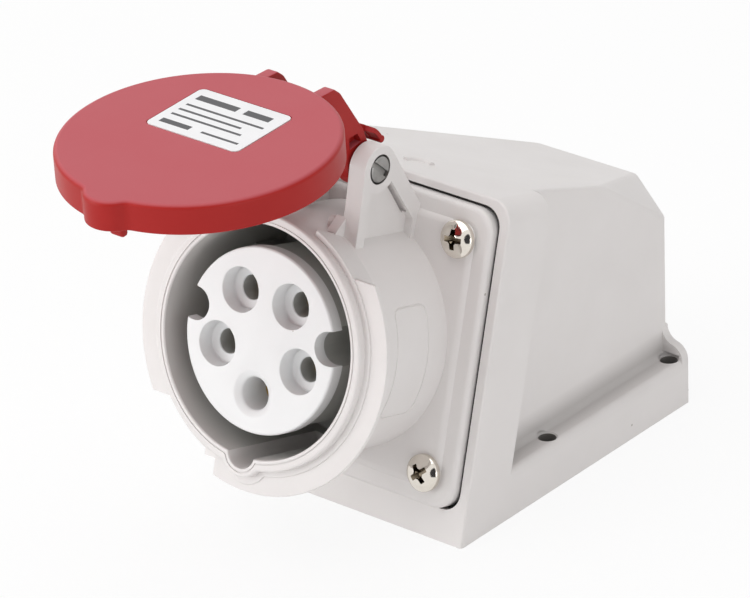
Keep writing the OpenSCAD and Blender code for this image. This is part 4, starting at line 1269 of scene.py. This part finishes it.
# Paints a paler sheen on the faces that point up out of the lid's top.
tint_along(lid_red, "Normal", LID.to_3x3() @ Vector((0, 0, 1)), *TOP_SPAN, TOP_PAINTED_SHEEN)
tongue = rounded_box(-2.2, -30.3, 2.2, -28.1, TONGUE_ROUND)
arm_hollow = rounded([(40.7, 22.3, 0.4), (45.1, 22.9, 0.4), (43.8, 25.4, 0.4), (40.7, 25.4, 0.4)])
bead_turn = math.radians(HOOD_END)
bead_u = HINGE_U + BEAD_AT * math.cos(bead_turn)
bead_w = HINGE_W + BEAD_AT * math.sin(bead_turn)
bead = disc(bead_u, bead_w, BEAD_RADIUS, 24)
lip = arc(HINGE_U, HINGE_W, HOOD_OUT, 50, HOOD_END, 8) + arc(HINGE_U, HINGE_W, HOOD_IN + 0.2, HOOD_END, 50, 8)
lid_parts = [
    prism(tongue, TONGUE_LOW, TONGUE_TOP, LID, foot=TONGUE_ROUND),
    *both_sides(arm_outline(), ARM_IN, ARM_OUT, LID, 0.4),
    *both_sides(disc(HINGE_U, HINGE_W, ARM_BOSS), ARM_IN - 0.05, ARM_OUT + 0.05, LID, 0.3),
    sideways(hood_outline(), -HOOD_HALF, HOOD_HALF, LID, 0),
    sideways(lip, -HOOD_LIP, HOOD_LIP, LID),
    sideways(bead, -HOOD_LIP - 0.1, HOOD_LIP + 0.1, LID),
]
hollow_profile = [
    (0, HOLLOW_FOOT), (LID_HOLLOW, HOLLOW_FOOT), (LID_HOLLOW, LID_FOOT + 0.1), (31.75, LID_CEILING - 0.5),
    (31.25, LID_CEILING), (0, LID_CEILING),
]
key_room = prism(lobed_circle(LID_HOLLOW, KEY_AT, KEY_RIDGE + 1.5, 1.6), HOLLOW_FOOT, KEY_ROOM_TOP, LID)
cap_outline = lobed_circle(LID_RADIUS, LUG_AT, LUG_RADIUS, LUG_BLEND)
lid_shell = prism(cap_outline, LID_FOOT, LID_TOP, LID, top=LID_EDGE, foot=0.3, steps=6)
lid_shell = carve(lid_shell, [], [turned(hollow_profile, LID), key_room])
lid_cuts = [
    prism(label_outline(LABEL_GAP), LID_TOP - LABEL_SINK, LID_TOP + 3, LID),
    prism(disc(HINGE_U, HINGE_W, PIN_HOLE + 0.05, 64), -ARM_CUT, ARM_CUT, LID @ SIDEWAYS),
    *both_sides(arm_hollow, ARM_OUT - ARM_HOLLOW, ARM_CUT, LID, 0),
]
lid = carve(lid_shell, lid_parts, lid_cuts)
dress(lid, "lid_moulding", lid_red, "lid", ["lid"])

# The lid label: a thin white plastic film set in a shallow seat on the lid, printed with plain grey bars only.
# The bars are drawn by the finish on the label's own flat coordinates.
LABEL_RISE = 0.1
LABEL_EDGE = 0.06
PRINT_INK = (0.06, 0.06, 0.065)
BAR_INPUTS = ("Across", "Up", "Half Width", "Half Height")
PRINT_BARS = [
    (0.30, 0.80, 0.22, 0.055), (0.74, 0.80, 0.14, 0.055), (0.50, 0.60, 0.42, 0.020),
    (0.42, 0.47, 0.34, 0.020), (0.46, 0.34, 0.38, 0.020), (0.24, 0.16, 0.16, 0.045), (0.72, 0.16, 0.20, 0.020),
]


def printed_bar():
    """Shared effect: mask of one upright bar on the flat coordinates of a surface."""
    inputs = {name: "Float" for name in BAR_INPUTS}
    group, entry, leave = new_tree("printed_bar", "ShaderNodeTree", inputs, {"Mask": "Float"})
    place = add_node(group, "ShaderNodeTexCoord")
    parts = add_node(group, "ShaderNodeSeparateXYZ")
    wire(group, (place, "UV", parts, 0))
    masks = []
    for axis, middle, half in (("X", "Across", "Half Width"), ("Y", "Up", "Half Height")):
        off = add_math(group, "SUBTRACT", parts.outputs[axis], entry.outputs[middle])
        masks.append(add_math(group, "LESS_THAN", add_math(group, "ABSOLUTE", off), entry.outputs[half]))
    group.links.new(add_math(group, "MULTIPLY", *masks), leave.inputs["Mask"])
    return group


def label_film():
    """White film with the bars printed in dark grey, slightly uneven in gloss."""
    material = finish(
        "label_film", ((0.86, 0.86, 0.87), (0.82, 0.82, 0.83)), None,
        gloss=(0.28, 0.38), scales=(90.0, 2800.0, 300.0), bump=(0.1, 0.00001)
    )
    tree = material.node_tree
    group = printed_bar()
    for values in PRINT_BARS:
        bar = add_node(tree, "ShaderNodeGroup")
        bar.node_tree = group
        for name, value in zip(BAR_INPUTS, values):
            bar.inputs[name].default_value = value
        cover(material, bar.outputs["Mask"], PRINT_INK)
    return material


lid_label = prism(label_outline(0), LID_TOP - LABEL_SINK, LID_TOP + LABEL_RISE, top=LABEL_EDGE)
label_flat = lid_label.data.uv_layers.new(name="flat")
for corner in lid_label.data.loops:
    spot = lid_label.data.vertices[corner.vertex_index].co
    across, up = (spot.x - LABEL_X) / LABEL_WIDE + 0.5, (spot.y - LABEL_U) / LABEL_TALL + 0.5
    label_flat.data[corner.index].uv = (across, up)
lid_label.data.transform(LID)
dress(lid_label, "lid_label_film", label_film(), "lid", ["lid_label"])
